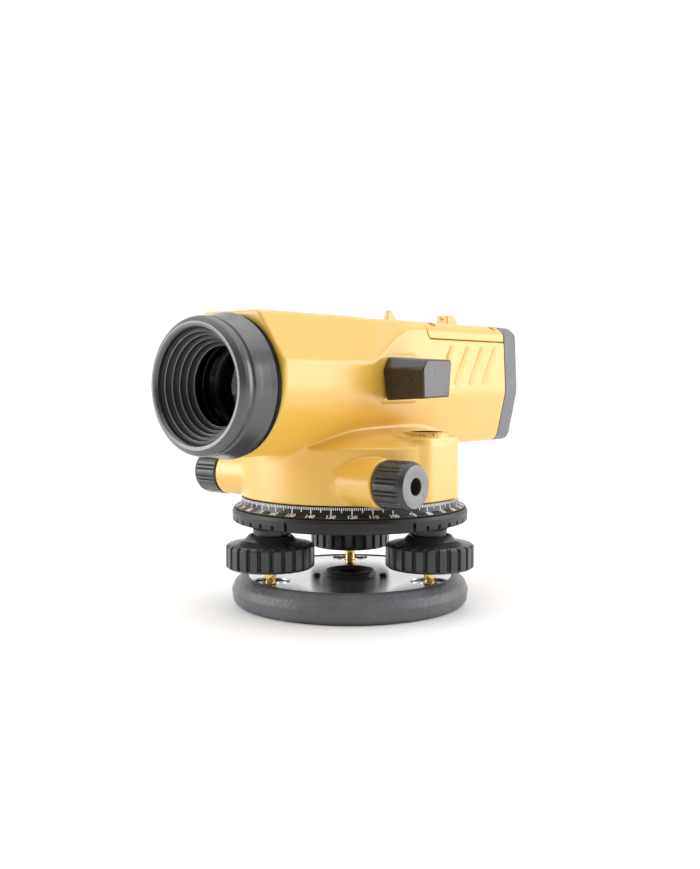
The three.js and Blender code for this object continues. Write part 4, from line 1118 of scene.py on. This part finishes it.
def tripod_bush():
    z0, z1 = span("tripod_bush", 2)
    profile = [(7.0, z0, 0.3), (12.2, z0, 0.3), (12.2, z1 - 0.9, 0.3), (11.4, z1, 0.4), (9.6, z1, 0.3),
               (9.1, z1 - 0.7, 0.3), (7.6, z1 - 0.8, 0.2)]
    z = z1 - 1.2
    while z > z0 + 1.2:
        profile += [(7.0, z), (7.55, z - BUSH_PITCH / 2)]
        z -= BUSH_PITCH
    return turned("bush_body", profile, 192, steps=3)


dress(tripod_bush(), "base", BLACK_CAST, "tripod_bush")


def screw(name, place, r, top, depth, socket=0.5):
    """A pan head with a cross recess, its top at height top."""

    def cross(a, q, z):
        return np.where(q < r * 0.5, q * (0.72 + 0.5 * np.abs(np.cos(2 * a)) ** 3), q)

    head = turned(name, [
        (0, top - depth), (r, top - depth, 0.1), (r, top - 0.35 * depth, 0.2 * depth), (r * 0.72, top, 0.3),
        (r * 0.42, top - 0.02, 0.1), (r * 0.36, top - socket, 0.1), (0, top - socket * 1.1)], 48,
        shape=cross)
    return moved(head, (*place, 0))


for index, place in enumerate(PLATE_SCREWS, 1):
    name, node = f"plate_screw_head_{index}", f"plate_screw_{index}"
    z0, z1 = span(node, 2)
    head = screw(name, place, 1.7, z1, 1.3)
    shank = turned("shank", [(0, z0), (1.3, z0, 0.1), (1.3, z1 - 1.0), (0, z1 - 1.0)], 24)
    whole = joined(name, [head, moved(shank, (*place, 0))])
    dress(whole, "base", BLACK_METAL, node)
for index, place in enumerate(COVER_SCREWS, 1):
    node = f"cover_screw_{index}"
    head = screw(f"cover_screw_head_{index}", place, 2.5, span(node, 2)[1] - 1.0, 1.6, 0.8)
    dress(head, "alidade", STEEL, node)

# ------ circular level


def level_parts():
    """The circular level: cup, yellow rim, glass with its liquid and bubble, and the set circle."""
    z0, z1 = span("level_cup", 2)
    r = LEVEL_POCKET_R - 0.3
    cup = turned("bubble_cup", [
        (0, z0), (r, z0, 0.3), (r, z1 - 0.95, 0.2), (7.6, z1 - 0.95, 0.05), (7.5, z1 - 0.1, 0.1),
        (7.15, z1 - 0.15, 0.05), (7.15, z0 + 2.3, 0.1), (0, z0 + 2.3)], 96)
    rim = turned("bubble_rim", [
        (7.65, z1 - 0.85, 0.1), (r + 0.25, z1 - 0.85, 0.1), (r + 0.25, z1 - 0.15, 0.2), (r - 0.2, z1, 0.2),
        (7.7, z1, 0.1)], 128)
    v0, v1 = span("level_vial", 2)
    dome = [(6.9 * s, v1 - 0.9 * s * s, 0) for s in np.linspace(0.97, 0, 12)]
    vial = turned("bubble_vial", [(0, v0), (6.85, v0, 0.2), (6.9, v1 - 0.95, 0.2)] + dome, 96)
    dome = [(6.2 * s, v1 - 0.9 - 0.8 * s * s, 0) for s in np.linspace(0.97, 0, 10)]
    liquid = turned("bubble_liquid", [(0, v0 + 0.5), (6.2, v0 + 0.5, 0.3), (6.2, v1 - 1.75, 0.3)] + dome,
                    96)
    drop = [(2.3 * math.sin(t), v1 - 1.6 - 0.6 * math.cos(t), 0) for t in np.linspace(0.3, 2.9, 12)]
    air = turned("bubble_air", [(0, v1 - 2.2)] + drop + [(0, v1 - 1.0)], 64)
    circle = turned("bubble_circle", [(2.75, v1 - 0.12), (2.95, v1 - 0.12), (2.95, v1 - 0.02),
                                      (2.75, v1 - 0.02)], 96)
    for piece, made, *names in (
            (cup, TUBE_BLACK, "level_cup"), (rim, YELLOW, None, "yellow_paint"),
            (vial, VIAL_GLASS, "level_vial"), (liquid, LIQUID, None, "glass"),
            (air, BUBBLE, None, "glass"), (circle, BLACK_METAL, None, "black_aluminium")):
        moved(piece, (LEVEL_X, LEVEL_Y, 0))
        dress(piece, "alidade", made, *names)


level_parts()

# ------ CAD nodes that stay

BY_SLOT = {
    "yellow_paint": YELLOW, "dark_casting": CASTING, "black_plastic": BLACK, "black_casting": BLACK_CAST,
    "grey_rubber": RUBBER, "grey_plastic": CAP_GREY, "polished_steel": STEEL, "brass": BRASS,
    "black_aluminium": BLACK_METAL, "aluminium": ALUMINIUM, "glass": GLASS, "mirror": MIRROR}
for node, slot in SLOTS.items():
    materials = frame["nodes"][node].data.materials
    materials.clear()
    materials.append(BY_SLOT[slot])

# ------ stage, light and camera

bpy.ops.mesh.primitive_circle_add(vertices=96, radius=6.0, fill_type="TRIFAN")
floor = bpy.context.object
floor.name = "studio_floor"
floor_paint = material("studio_white", (0.93, 0.93, 0.93), roughness=0.8)
bump(floor_paint, (noise(floor_paint, 40), 0.02, 0.2))
floor.data.materials.append(floor_paint)


def aimed(obj, place, direction):
    obj.location = place
    obj.rotation_euler = direction.to_track_quat("-Z", "Y").to_euler()


def area_light(name, place, target, size, power):
    data = bpy.data.lights.new(name, "AREA")
    data.shape = "RECTANGLE"
    data.size, data.size_y = size
    data.energy = power
    aimed(placed(name, data), place, Vector(target) - Vector(place))


def around(degrees, distance, height):
    """A place by its bearing: 0 is on the tribrach's symmetry line, where the camera stands."""
    angle = HEADING + math.radians(degrees)
    return (distance * math.cos(angle), distance * math.sin(angle), height)


area_light("overhead", around(0, 0.1, 1.4), (0, 0, 0.08), (1.4, 1.4), 2)
area_light("key_right", around(95, 1.1, 0.32), (0, 0, 0.09), (0.7, 0.7), 5.2)
area_light("front_right", around(55, 1.2, 0.6), (0, 0, 0.09), (0.6, 0.8), 1.6)
area_light("fill_left", around(-88, 1.15, 0.35), (0, 0, 0.08), (0.6, 0.8), 7.5)
sky = bpy.data.lights.new("floor_wash", "SUN")
sky.energy = 1.3
sky.angle = math.radians(90)
placed("floor_wash", sky)

# The air is white behind the object and dims behind the camera, as in an open studio.
world = bpy.data.worlds.new("studio_air")
bpy.context.scene.world = world
world.use_nodes = True
background = world.node_tree.nodes["Background"]
background.inputs["Color"].default_value = (1, 1, 1, 1)
facing = node_of(world, "ShaderNodeVectorMath", operation="DOT_PRODUCT")
facing.inputs[1].default_value = around(0, 1, 0)
wire(world, node_of(world, "ShaderNodeTexCoord").outputs["Generated"], facing.inputs[0])
limits = dict(zip(MAP_SOCKETS, (-0.35, 0.8, 1.05, 0.22)))
dimming = node_of(world, "ShaderNodeMapRange", interpolation_type="SMOOTHSTEP", **limits)
wire(world, facing.outputs["Value"], dimming.inputs["Value"])
wire(world, dimming.outputs["Result"], background.inputs["Strength"])

# The camera stands on the tribrach's symmetry line, a little above the optical axis.
CAMERA_DISTANCE = 484.1 * MM
CAMERA_HEIGHT = 105.1 * MM
CAMERA_DIP = math.radians(3.109)
lens_data = bpy.data.cameras.new("camera")
lens_data.lens = 42.357
lens_data.sensor_width = 36
lens_data.clip_start = 0.01
camera = placed("camera", lens_data)
ahead = -Vector(around(0, math.cos(CAMERA_DIP), math.sin(CAMERA_DIP)))
aimed(camera, around(0, CAMERA_DISTANCE, CAMERA_HEIGHT), ahead)
bpy.context.scene.camera = camera

view = bpy.context.scene.view_settings
view.view_transform = "Standard"
view.look = "None"
